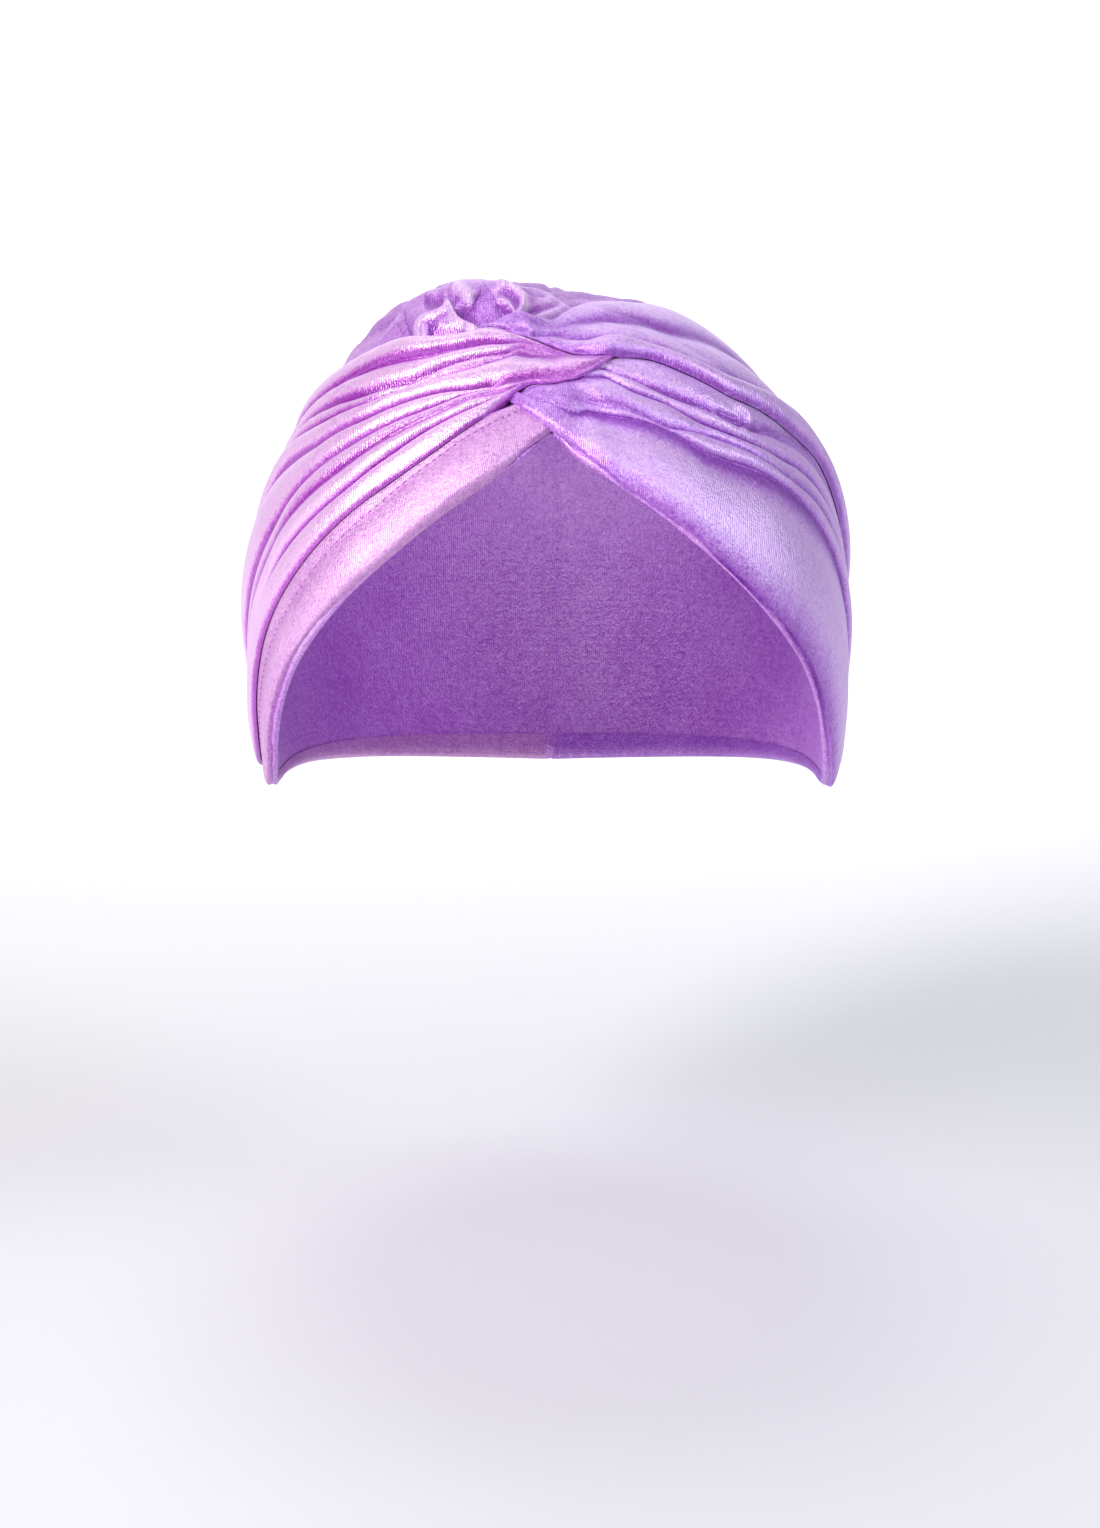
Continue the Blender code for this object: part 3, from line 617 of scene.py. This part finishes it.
def averaged(values, rows, columns):
    """Mean of a grid over a window of so many cells each way."""
    for axis, size in ((0, rows), (1, columns)):
        if size < 1:
            continue
        pad = [(0, 0), (0, 0)]
        pad[axis] = (size + 1, size)
        total = np.cumsum(np.pad(values, pad, mode="edge"), axis=axis)
        last = np.take(total, np.arange(2 * size + 1, total.shape[axis]), axis=axis)
        first = np.take(total, np.arange(0, total.shape[axis] - 2 * size - 1), axis=axis)
        values = (last - first) / (2 * size + 1)
    return values


def raised(heights, rows, columns):
    """How far a place stands above its surroundings, 1 on a full ridge and -1 in a full crease: it sets the
    satin's painted highlight and shade.
    """
    return np.clip((heights - averaged(heights, rows, columns)) / PAINTED_SHADING_RISE, -1.0, 1.0)


def placed(name, data):
    """Object of a mesh, a light or a camera, put into the scene."""
    thing = bpy.data.objects.new(name, data)
    bpy.context.scene.collection.objects.link(thing)
    return thing


def smoothed(mesh):
    """Shade every face of a mesh smooth."""
    mesh.polygons.foreach_set("use_smooth", np.ones(len(mesh.polygons), dtype=bool))


def grid_mesh(name, points, uv, fold, wrapped=False):
    """Smooth sheet over a grid of points, with the cloth's own flat coordinates in metres and the painted
    shading of its folds.
    """
    rows, columns = points.shape[:2]
    last = columns if wrapped else columns - 1
    i, j = np.meshgrid(np.arange(rows - 1), np.arange(last), indexing="ij")
    k = (j + 1) % columns
    here = i * columns
    ahead = (i + 1) * columns
    quads = np.stack([here + j, here + k, ahead + k, ahead + j], axis=-1)
    mesh = bpy.data.meshes.new(name)
    mesh.from_pydata(points.reshape(-1, 3).tolist(), [], quads.reshape(-1, 4).tolist())
    mesh.update()
    layer = mesh.uv_layers.new(name="Cloth")
    loops = np.zeros(len(mesh.loops), dtype=np.int32)
    mesh.loops.foreach_get("vertex_index", loops)
    layer.data.foreach_set("uv", uv.reshape(-1, 2)[loops].astype(np.float32).ravel())
    smoothed(mesh)
    mesh.attributes.new("fold", "FLOAT", "POINT").data.foreach_set("value", fold.astype(np.float32).ravel())
    return placed(name, mesh)


def face_outward(thing):
    """Turn the faces away from the head centre."""
    mesh = thing.data
    votes = sum((p.center - Vector(HEAD_CENTRE)).dot(p.normal) * p.area for p in mesh.polygons)
    if votes < 0:
        mesh.flip_normals()


def tree_of(thing):
    """Search tree of an object's faces."""
    mesh = thing.data
    return BVHTree.FromPolygons([v.co for v in mesh.vertices], [tuple(p.vertices) for p in mesh.polygons])


def stations_between(first, last, count):
    """Stations from first to last, closer together at the front where the folds meet."""
    share = np.linspace(0, 1, count)
    return first + (last - first) * (0.5 * share + 0.5 * share ** 2)


def wrinkles(along, across, length, seed, height):
    """Small creases that run along the wrap and fade in and out, their sizes in millimetres."""
    u = along[:, None] * RIM_LENGTH * 1000 + 0 * across
    v = across * length[:, None] * 1000
    drift = 2.2 * value_noise(u / 45, v / 22, seed)
    fine = value_noise(u / 38, v / 2.6 + drift, seed + 1)
    finer = value_noise(u / 24, v / 1.3 + drift * 1.6, seed + 2)
    patch = 0.5 + 0.5 * value_noise(u / 30, v / 14, seed + 3)
    return height * (fine * 0.65 + finer * 0.35) * patch


def turned_under(direction, side, along, edge, level, length):
    """Strip of a rim edge that is turned in round the cap and lies against its inner face."""
    turned = ease(*TURN_START, along)[:, None]
    strip = np.array(TURN_SHARES)[None, :] * TURNED_HEM / length[:, None]
    height = np.array(TURN_HEIGHTS)[None, :]
    outside = np.array(TURN_DEPTHS)[None, :]
    places = wrap_direction(side, along[:, None], np.abs(edge + strip * turned))
    return on_head(places, height * turned + (level + LAYER_GAP - outside) * (1 - turned)), strip * turned


def level_below(trees, direction, share, rim):
    """Height that a wrap lies at: it bridges the layers below and comes down to them at its edges."""
    steps, columns = direction.shape[:2]
    pick_rows = np.unique(np.linspace(0, steps - 1, steps // 2).astype(int))
    pick_columns = np.unique(np.linspace(0, columns - 1, columns // 2).astype(int))
    below = surface_below(trees, direction[np.ix_(pick_rows, pick_columns)])
    close = np.exp(-(share / EDGE_CLOSE) ** 2) + np.exp(-((1 - share) / EDGE_CLOSE) ** 2)
    bridged = upsample(drape(below, DRAPE_CELLS), steps, columns)
    near = upsample(averaged(below, RIM_CELLS if rim else EDGE_CELLS, 1), steps, columns)
    return bridged + (near - bridged) * close


def cloth_wall(edges, along, share):
    """Thickness that a wrap shows, with its own share of it at the lower and the upper edge."""
    low = np.exp(-(share / EDGE_REACH) ** 2)
    high = np.exp(-((1 - share) / EDGE_REACH) ** 2)
    low_edge = curve(EDGE_STATIONS, edges[0], along)[:, None] * low
    high_edge = curve(EDGE_STATIONS, edges[1], along)[:, None] * high
    return CLOTH * (low_edge + high_edge + (1 - low - high))


def build_wrap(name, side, stations, rows, edges, grid, trees, seed, wrinkle=WRINKLE, rim=False,
               folds=(), hidden=NEVER_HIDDEN):
    """Folded sheet of a wrap laid over what is below it."""
    steps, per_roll = grid
    along = stations_between(stations[0], stations[-1], steps)
    foot = wrap_direction(side, along, 0.0)
    crown = wrap_direction(side, along, 1.0)
    length = np.arccos(np.clip((foot * crown).sum(axis=-1), -1, 1)) * HEAD_FRONT
    across, heights = wrap_surface(stations, rows, along, per_roll, length, hidden)
    direction = wrap_direction(side, along[:, None], across)
    share = np.linspace(0, 1, across.shape[1])[None, :]
    level = level_below(trees, direction, share, rim)
    wall = cloth_wall(edges, along, share)
    carried = np.minimum(heights / WRINKLED_ROLL, 1.0)
    thinned = ease(stations[0], stations[0] + FRONT_THINNING, along)[:, None]
    relief = heights + wall + wrinkles(along, across, length, seed, wrinkle) * carried
    relief = relief * thinned + LAYER_GAP
    border = ease(0.0, 0.04, np.minimum(share, 1 - share))
    relief = relief + folds_relief(on_head(direction, level + relief), folds) * border
    points = on_head(direction, level + relief)
    lower = on_head(direction[:, :1], level[:, :1] + LAYER_GAP)
    upper = on_head(direction[:, -1:], level[:, -1:] + LAYER_GAP)
    points = np.concatenate([lower, points, upper], axis=1)
    # Painted shade and highlight: how far each place stands above its neighbours, for the satin to darken
    # creases and pale ridges.
    fold = raised(relief, 3, int(per_roll * 0.55))
    fold = np.concatenate([fold[:, :1], fold, fold[:, -1:]], axis=1)
    flat = across * length[:, None]
    flat = np.concatenate([flat[:, :1] - CLOTH, flat, flat[:, -1:] + CLOTH], axis=1)
    if rim:
        inside, strip = turned_under(direction, side, along, across[:, :1], level[:, :1], length)
        points = np.concatenate([inside, points], axis=1)
        fold = np.concatenate([np.repeat(fold[:, :1], inside.shape[1], axis=1), fold], axis=1)
        flat = np.concatenate([flat[:, :1] - CLOTH - strip * length[:, None], flat], axis=1)
    flat_along = np.broadcast_to(along[:, None] * RIM_LENGTH, flat.shape)
    thing = grid_mesh(name, points, np.stack([flat_along, flat], axis=-1), fold)
    face_outward(thing)
    return thing


def crown_relief(direction):
    """Swells of the cap where the gathered crown stands off the head."""
    relief = np.zeros(direction.shape[:-1])
    for _, azimuth, elevation, spread, share in CROWN_SWELLS:
        centre = head_direction(azimuth, elevation)
        angle = np.degrees(np.arccos(np.clip(direction @ centre, -1, 1)))
        relief = relief + share * FOLD_HEIGHT * np.exp(-(angle / spread) ** 2)
    return relief


def crown_gathers(direction):
    """Soft pleats that run from the tuck over the crown to the back."""
    centre, right, up = tuck_frame()
    x = direction @ right
    y = direction @ up
    turn = np.arctan2(x, y)
    reach = np.arccos(np.clip(direction @ centre, -1, 1))
    fade = ease(*GATHER_START, reach) * (1 - 0.55 * ease(*GATHER_FADE, reach))
    bend = turn * GATHER_COUNT + 0.8 * value_noise(reach * 3.0, turn * 2.0 + 40, SEED + 20)
    broad = value_noise(bend, reach * 0.9 + 10, SEED + 21)
    narrow = value_noise(bend * 2.7, reach * 1.4 + 30, SEED + 22)
    return fade * (GATHER_HEIGHTS[0] * broad + GATHER_HEIGHTS[1] * narrow)


def rim_slope(azimuth):
    """Elevation of the rim at an azimuth, and how steeply it runs there."""
    reach = np.abs(azimuth)
    behind, here, ahead = [curve(RIM_AZIMUTHS, RIM_ELEVATIONS, reach + step) for step in (-0.5, 0.0, 0.5)]
    return here, ahead - behind


def build_cap():
    """Outer and inner face of the cap in one piece, joined along the rim by a turned edge."""
    azimuths = np.arange(CAP_SPOKES) * 360.0 / CAP_SPOKES
    signed = (azimuths + 180.0) % 360.0 - 180.0
    rim, slope = rim_slope(signed)
    low = rim - np.degrees(RIM_REVEAL / HEAD_HALF_WIDTH) * np.sqrt(1 + slope ** 2)
    low = low + APEX_RISE * np.exp(-(signed / APEX_SPREAD) ** 2)
    outer_shares = np.concatenate([[0.002], np.linspace(0.01, 1, CAP_OUTER_RINGS)])
    inner_shares = np.linspace(1, 0.004, CAP_INNER_RINGS)
    outer = head_direction(azimuths[None, :], 90.0 - outer_shares[:, None] * (90.0 - low[None, :]))
    inner = head_direction(azimuths[None, :], 90.0 - inner_shares[:, None] * (90.0 - low[None, :]))
    seam = -CAP_SEAM[0] * np.exp(-(outer[..., 0] / CAP_SEAM[1]) ** 2) * (outer[..., 1] > 0)
    points = [on_head(outer, CAP_WALL + crown_relief(outer) + crown_gathers(outer) + seam)]
    for share in (0.85, 0.5, 0.15):
        bulge = head_direction(azimuths, low - 0.45 * math.sin(math.pi * share))
        points.append(on_head(bulge, np.full(CAP_SPOKES, CAP_WALL * share))[None, :])
    depth, spread = CAP_SEAM_RIDGE
    points.append(on_head(inner, -depth * np.exp(-(inner[..., 0] / spread) ** 2) * (inner[..., 1] > 0)))
    points = np.concatenate(points)
    # Painted shade and highlight along the crown's gathers; the rest of the cap gets none.
    fold = np.zeros(points.shape[:2])
    fold[:len(outer)] = np.clip(crown_gathers(outer) / (3 * PAINTED_SHADING_RISE), -1, 1)
    arc = np.cumsum(np.concatenate([[0.0], np.linalg.norm(np.diff(points[:, 0], axis=0), axis=1)]))
    u = np.broadcast_to(np.radians(azimuths)[None, :] * HEAD_FRONT, points.shape[:2])
    v = np.broadcast_to(arc[:, None], points.shape[:2])
    thing = grid_mesh("cap_cloth", points, np.stack([u, v], axis=-1), fold, wrapped=True)
    close_poles(thing, CAP_SPOKES)
    outward = thing.data.polygons[CAP_SPOKES * 40]
    if (outward.center - Vector(HEAD_CENTRE)).dot(outward.normal) < 0:
        thing.data.flip_normals()
    return thing


def close_poles(thing, spokes):
    """Fill the small round openings at the top of the cap's two faces."""
    mesh = thing.data
    count = len(mesh.vertices)
    vertices = [tuple(v.co) for v in mesh.vertices]
    faces = [tuple(p.vertices) for p in mesh.polygons]
    uv = np.zeros(len(mesh.loops) * 2, dtype=np.float32)
    mesh.uv_layers["Cloth"].data.foreach_get("uv", uv)
    faces.append(tuple(range(spokes - 1, -1, -1)))
    faces.append(tuple(range(count - spokes, count)))
    flat = np.concatenate([uv, np.zeros(spokes * 4, dtype=np.float32)])
    filled = bpy.data.meshes.new("cap_cloth")
    filled.from_pydata(vertices, [], faces)
    filled.update()
    filled.uv_layers.new(name="Cloth").data.foreach_set("uv", flat)
    smoothed(filled)
    fold = np.zeros(count, dtype=np.float32)
    mesh.attributes["fold"].data.foreach_get("value", fold)
    filled.attributes.new("fold", "FLOAT", "POINT").data.foreach_set("value", fold)
    thing.data = filled


def tuck_frame():
    """Middle of the tuck and the two directions across it."""
    centre = head_direction(TUCK_AZIMUTH, TUCK_ELEVATION)
    right = unit(np.array([1.0, 0.0, 0.0]) - centre * centre[0])
    return centre, right, np.cross(centre, right)


def tuck_places(first, second):
    """Places right and up of a rounded patch from two lists of shares between -1 and 1."""
    u, w = np.meshgrid(first, second, indexing="ij")
    x = TUCK_SHIFT[0] + TUCK_HALF_WIDTH * u * np.sqrt(1 - w * w / 2)
    y = TUCK_SHIFT[1] + TUCK_HALF_LENGTH * w * np.sqrt(1 - u * u / 2)
    return u, w, x, y


def camera_pose():
    """Place of the camera, the way it looks, its up direction and its focal length in pixels."""
    focal = CAMERA_LENS / SENSOR_WIDTH * FRAME_HEIGHT
    elevation = math.radians(CAMERA_ELEVATION)
    pitch = elevation + math.atan((FRAME_HEIGHT / 2 - SUBJECT_ROW) / focal)
    place = HEAD_CENTRE + np.array([0.0, -math.cos(elevation), math.sin(elevation)]) * CAMERA_DISTANCE
    forward = np.array([0.0, math.cos(pitch), -math.sin(pitch)])
    return place, forward, np.array([0.0, math.sin(pitch), math.cos(pitch)]), focal


def photo_places(points):
    """Column and row of points in the photograph, and whether they are on its side of the head."""
    place, forward, up, focal = camera_pose()
    offset = points - place
    depth = offset @ forward
    column = FRAME_MIDDLE + focal * offset[..., 0] / depth
    return column, FRAME_HEIGHT / 2 - focal * (offset @ up) / depth, points[..., 1] < SEEN_UNTIL


def folds_relief(points, folds):
    """Height that a table of folds adds at points that the photograph shows."""
    column, row, seen = photo_places(points)
    relief = np.zeros(column.shape)
    for _, height, sharpness, right, left, line in folds:
        knots = np.array(line, float)
        run = np.concatenate([[0.0], np.cumsum(np.linalg.norm(np.diff(knots, axis=0), axis=1))])
        at = np.linspace(0, run[-1], int(run[-1]) + 2)
        path = np.stack([curve(run, knots[:, 0], at), curve(run, knots[:, 1], at)], axis=-1)
        ahead = unit(np.gradient(path, axis=0))
        margin = 3.0 * max(right, left)
        near = seen & (column > path[:, 0].min() - margin) & (column < path[:, 0].max() + margin)
        near = near & (row > path[:, 1].min() - margin) & (row < path[:, 1].max() + margin)
        place = np.stack([column[near], row[near]], axis=-1)
        if not len(place):
            continue
        gap = place[:, None, :] - path[None, :, :]
        reach = np.linalg.norm(gap, axis=-1)
        best = reach.argmin(axis=1)
        off = gap[np.arange(len(best)), best]
        side = ahead[best, 0] * off[:, 1] - ahead[best, 1] * off[:, 0]
        width = right + (left - right) * ease(-0.5, 0.5, -side)
        share = at[best] / run[-1]
        ends = ease(*FOLD_START, share) * (1 - ease(*FOLD_END, share))
        relief[near] += height / 1000 * ends * np.exp(-(reach.min(axis=1) / width) ** sharpness)
    return relief


def build_tuck(trees):
    """Twisted tuck of cloth at the front of the crown."""
    shares = np.linspace(-1, 1, TUCK_GRID)
    u, w, x, y = tuck_places(shares, shares)
    centre, right, up = tuck_frame()
    reach = head_radius(centre)
    direction = unit(centre + (x[..., None] * right + y[..., None] * up) / reach)
    pick = np.arange(0, TUCK_GRID, TUCK_PICK)
    below = surface_below(trees, direction[np.ix_(pick, pick)])
    level = upsample(drape(below, (1, 1)), TUCK_GRID, TUCK_GRID)
    inside = np.clip(1 - np.maximum(np.abs(u), np.abs(w)) ** 2, 0, 1)
    swell = TUCK_SWELL * inside ** 0.9
    wall = level - TUCK_SINK + (CLOTH + LAYER_GAP + TUCK_SINK) * inside ** 0.5
    column, row, _ = photo_places(on_head(direction, wall + swell))
    cover = np.array(TUCK_COVER, float)
    covered = row - curve(cover[:, 0], cover[:, 1], column)
    pressed = 1 - TUCK_PRESS * ease(0.0, TUCK_PRESS_REACH, covered)
    folded = folds_relief(on_head(direction, wall + swell), TUCK_FOLDS) * inside ** 0.5
    relief = swell + folded
    points = on_head(direction, wall + np.maximum(relief, 0.0) * pressed)
    # Painted shade and highlight of the tuck: its rises and the folds' relief darken its hollows and pale its
    # ridges.
    fold = raised(relief * pressed, TUCK_SURROUND, TUCK_SURROUND) + TUCK_PAINTED_SHADING * folded
    fold = np.clip(fold, -1, 1) * np.minimum(4 * inside, 1.0)
    thing = grid_mesh("tuck_cloth", points, np.stack([x, y], axis=-1), fold)
    face_outward(thing)
    return thing


def stitch_row(hem_tree, stations, rows):
    """Thread of the hem: short stitches sunk along the stitch line."""
    line = Crease(*rows[1]).places
    along = np.arange(*STITCH_RUN, STITCH_PITCH / RIM_LENGTH)
    direction = wrap_direction(VIEWER_LEFT, along, curve(stations, line, along))
    ahead = wrap_direction(VIEWER_LEFT, along + 0.002, curve(stations, line, along + 0.002))
    heights = surface_below([hem_tree], direction)
    centres = on_head(direction, heights + STITCH_LIFT)
    tangents = unit(on_head(ahead, heights + STITCH_LIFT) - centres)
    vertices = []
    faces = []
    sides = STITCH_SIDES
    for centre, tangent, normal in zip(centres, tangents, direction):
        cross = np.cross(tangent, normal)
        base = len(vertices)
        for share, size in STITCH_RINGS:
            sink = -STITCH_SINK * share * share
            for k in range(sides):
                angle = 2 * math.pi * k / sides
                wide = cross * math.cos(angle) * STITCH_HALF_WIDTH * size
                high = normal * (math.sin(angle) * STITCH_HALF_HEIGHT * size + sink)
                vertices.append(centre + tangent * share * STITCH_HALF_LENGTH + (wide + high))
        for ring in range(len(STITCH_RINGS) - 1):
            for k in range(sides):
                n = (k + 1) % sides
                a = base + ring * sides
                faces.append((a + k, a + n, a + sides + n, a + sides + k))
        faces.append(tuple(base + k for k in range(sides - 1, -1, -1)))
        faces.append(tuple(base + (len(STITCH_RINGS) - 1) * sides + k for k in range(sides)))
    mesh = bpy.data.meshes.new("hem_stitches")
    mesh.from_pydata([tuple(v) for v in vertices], [], faces)
    mesh.update()
    smoothed(mesh)
    return placed("hem_stitches", mesh)


def satin(name, painted_highlight, base, painted_shade, gloss, painted_shading_strength):
    """Stretch satin: painted shade that saturates the creases, painted highlight that pales the ridges, fine
    ribs and a sparkling grain.
    """
    material = bpy.data.materials.new(name)
    material.use_nodes = True
    nodes = material.node_tree.nodes
    links = material.node_tree.links
    shader = nodes["Principled BSDF"]
    uv = nodes.new("ShaderNodeUVMap")
    uv.uv_map = "Cloth"
    split = nodes.new("ShaderNodeSeparateXYZ")
    links.new(uv.outputs["UV"], split.inputs[0])
    place = nodes.new("ShaderNodeNewGeometry")

    def math_node(kind, a, b=None):
        """One arithmetic step of the shader."""
        node = nodes.new("ShaderNodeMath")
        node.operation = kind
        for socket, value in zip(node.inputs, (a, b)):
            if value is None:
                continue
            if isinstance(value, (int, float)):
                socket.default_value = value
            else:
                links.new(value, socket)
        return node.outputs[0]

    def noise(scale, detail, vector):
        """Noise at a scale per metre."""
        node = nodes.new("ShaderNodeTexNoise")
        node.inputs["Scale"].default_value = scale
        node.inputs["Detail"].default_value = detail
        links.new(vector, node.inputs["Vector"])
        return node.outputs["Fac"]

    def swing(value, amount):
        """A noise counted from its middle, so many times as strong."""
        return math_node("MULTIPLY", math_node("SUBTRACT", value, 0.5), amount)

    grain = noise(GRAIN_SCALE, 1.0, place.outputs["Position"])
    mottle = noise(MOTTLE_SCALE, 2.0, place.outputs["Position"])
    broad = noise(BROAD_SCALE, 2.0, place.outputs["Position"])
    ribs = math_node("SINE", math_node("MULTIPLY", split.outputs[0], 2 * math.pi / RIB_PITCH))
    cross = math_node("SINE", math_node("MULTIPLY", split.outputs[1], 2 * math.pi / CROSS_PITCH))
    weave = math_node("ADD", math_node("MULTIPLY", ribs, 0.60), math_node("MULTIPLY", cross, 0.20))
    relief = math_node("ADD", math_node("MULTIPLY", weave, 0.40), math_node("MULTIPLY", grain, 2.0))
    relief = math_node("ADD", relief, math_node("MULTIPLY", mottle, 1.6))
    bump = nodes.new("ShaderNodeBump")
    bump.inputs["Strength"].default_value = 0.60
    bump.inputs["Distance"].default_value = BUMP_DISTANCE
    links.new(relief, bump.inputs["Height"])
    links.new(bump.outputs["Normal"], shader.inputs["Normal"])

    # Painted shade and highlight: the folds' relief stored on the mesh darkens the creases towards deep
    # magenta and pales the ridges, with random tone from the noises and the weave added.
    fold = nodes.new("ShaderNodeAttribute")
    fold.attribute_name = "fold"
    tone = math_node("MULTIPLY", fold.outputs["Fac"], painted_shading_strength)
    tone = math_node("ADD", tone, swing(broad, 0.9))
    tone = math_node("ADD", tone, swing(grain, 2.0))
    tone = math_node("ADD", tone, swing(mottle, 0.9))
    tone = math_node("ADD", tone, math_node("MULTIPLY", ribs, 0.16))
    # Ramp from the painted shade colour in the creases through the plain cloth to the painted highlight
    # colour on the ridges.
    ramp = nodes.new("ShaderNodeValToRGB")
    ramp.color_ramp.interpolation = "B_SPLINE"
    ramp.color_ramp.elements[0].position = 0.05
    ramp.color_ramp.elements[0].color = (*painted_shade, 1.0)
    ramp.color_ramp.elements[1].position = 0.95
    ramp.color_ramp.elements[1].color = (*painted_highlight, 1.0)
    ramp.color_ramp.elements.new(0.48).color = (*base, 1.0)
    links.new(math_node("ADD", math_node("MULTIPLY", tone, 0.5), 0.5), ramp.inputs["Fac"])
    links.new(ramp.outputs["Color"], shader.inputs["Base Color"])

    rough = nodes.new("ShaderNodeMapRange")
    rough.inputs["To Min"].default_value = gloss - 0.06
    rough.inputs["To Max"].default_value = gloss + 0.10
    links.new(grain, rough.inputs["Value"])
    links.new(rough.outputs["Result"], shader.inputs["Roughness"])

    tangent = nodes.new("ShaderNodeTangent")
    tangent.direction_type = "UV_MAP"
    tangent.uv_map = "Cloth"
    links.new(tangent.outputs["Tangent"], shader.inputs["Tangent"])
    shader.inputs["Anisotropic"].default_value = 0.40
    shader.inputs["Metallic"].default_value = 0.30
    shader.inputs["IOR"].default_value = 2.20
    shader.inputs["Specular IOR Level"].default_value = 0.60
    shader.inputs["Sheen Weight"].default_value = 0.22
    shader.inputs["Sheen Roughness"].default_value = 0.35
    shader.inputs["Sheen Tint"].default_value = (*SHEEN_TINT, 1.0)
    return material


def plain(name, colour, roughness):
    """Even matt material."""
    material = bpy.data.materials.new(name)
    material.use_nodes = True
    shader = material.node_tree.nodes["Principled BSDF"]
    shader.inputs["Base Color"].default_value = (*colour, 1.0)
    shader.inputs["Roughness"].default_value = roughness
    return material


def finish_piece(thing, material, node):
    """Give a piece its cloth and put it in place of its CAD solid."""
    thing.data.materials.append(material)
    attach(thing, "root")
    if node:
        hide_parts(node)


def area_light(name, place, target, size, power, colour):
    """Soft square light that looks at a point."""
    data = bpy.data.lights.new(name, "AREA")
    data.shape = "RECTANGLE"
    data.size, data.size_y = size
    data.energy = power
    data.color = colour
    thing = placed(name, data)
    thing.location = place
    thing.rotation_euler = (Vector(target) - Vector(place)).to_track_quat("-Z", "Y").to_euler()


def build_room():
    """Pale floor that curves up into a wall, soft light and the photograph's camera."""
    scene = bpy.context.scene
    profile = [(FLOOR_FRONT, 0.0), (FLOOR_BACK, 0.0)]
    for step in range(1, CURVE_STEPS + 1):
        angle = math.pi / 2 * step / CURVE_STEPS
        back = FLOOR_BACK + CURVE_RADIUS * math.sin(angle)
        profile.append((back, CURVE_RADIUS - CURVE_RADIUS * math.cos(angle)))
    profile.append((WALL_PLACE, WALL_TOP))
    vertices = [(x, y, FLOOR_LEVEL + z) for x in (-ROOM_HALF_WIDTH, ROOM_HALF_WIDTH) for y, z in profile]
    count = len(profile)
    faces = [(i, i + 1, count + i + 1, count + i) for i in range(count - 1)]
    mesh = bpy.data.meshes.new("floor")
    mesh.from_pydata(vertices, [], faces)
    smoothed(mesh)
    floor = placed("floor", mesh)
    mesh.materials.append(plain("pale_floor", FLOOR_COLOUR, 0.75))

    for light in LIGHTS:
        area_light(*light)

    world = bpy.data.worlds.new("studio")
    world.use_nodes = True
    background = world.node_tree.nodes["Background"]
    background.inputs["Color"].default_value = (*AIR_COLOUR, 1.0)
    background.inputs["Strength"].default_value = AIR_STRENGTH
    scene.world = world
    scene.view_settings.view_transform = "Standard"

    data = bpy.data.cameras.new("photo_camera")
    data.lens = CAMERA_LENS
    data.sensor_width = SENSOR_WIDTH
    camera = placed("photo_camera", data)
    place, forward, _, _ = camera_pose()
    camera.location = place
    camera.rotation_euler = Vector(forward).to_track_quat("-Z", "Y").to_euler()
    data.clip_start = 0.05
    data.clip_end = 30.0
    scene.camera = camera


def build():
    """Every piece of cloth from the inside out, then the room."""
    cap = build_cap()
    trees = [tree_of(cap)]
    hem = build_wrap("hem_cloth", VIEWER_LEFT, HEM_STATIONS, HEM_ROWS, HEM_EDGES, HEM_GRID, trees, SEED,
                     wrinkle=HEM_WRINKLE, rim=True)
    trees.append(tree_of(hem))
    stitches = stitch_row(trees[-1], HEM_STATIONS, HEM_ROWS)
    tuck = build_tuck(trees)
    trees.append(tree_of(tuck))
    lower = build_wrap("right_lower_cloth", VIEWER_RIGHT, RIGHT_LOWER_STATIONS, RIGHT_LOWER_ROWS,
                       RIGHT_LOWER_EDGES, LOWER_GRID, trees, SEED + 4, wrinkle=LOWER_WRINKLE, rim=True,
                       folds=LOWER_FOLDS, hidden=LOWER_HIDDEN)
    trees.append(tree_of(lower))
    left = build_wrap("left_cloth", VIEWER_LEFT, LEFT_STATIONS, LEFT_ROWS, LEFT_EDGES, LEFT_GRID, trees,
                      SEED + 8, hidden=LEFT_HIDDEN)
    trees.append(tree_of(left))
    upper = build_wrap("right_upper_cloth", VIEWER_RIGHT, RIGHT_UPPER_STATIONS, RIGHT_UPPER_ROWS,
                       RIGHT_UPPER_EDGES, UPPER_GRID, trees, SEED + 12, folds=UPPER_FOLDS,
                       hidden=UPPER_HIDDEN)

    left_satin = satin("left_satin", *LEFT_SATIN)
    right_satin = satin("right_satin", *RIGHT_SATIN)
    crown_satin = satin("crown_satin", *CROWN_SATIN)
    hem_satin = satin("hem_satin", *HEM_SATIN)
    thread = plain("hem_thread", THREAD_AND_DIMPLE_SHADE_COLOUR, 0.6)

    finish_piece(cap, crown_satin, "crown_cap")
    finish_piece(hem, hem_satin, "left_hem_band")
    finish_piece(stitches, thread, None)
    finish_piece(tuck, crown_satin, "top_tuck")
    finish_piece(lower, right_satin, "right_lower_wrap")
    finish_piece(left, left_satin, "left_wrap")
    finish_piece(upper, right_satin, "right_upper_wrap")

    build_room()


build()
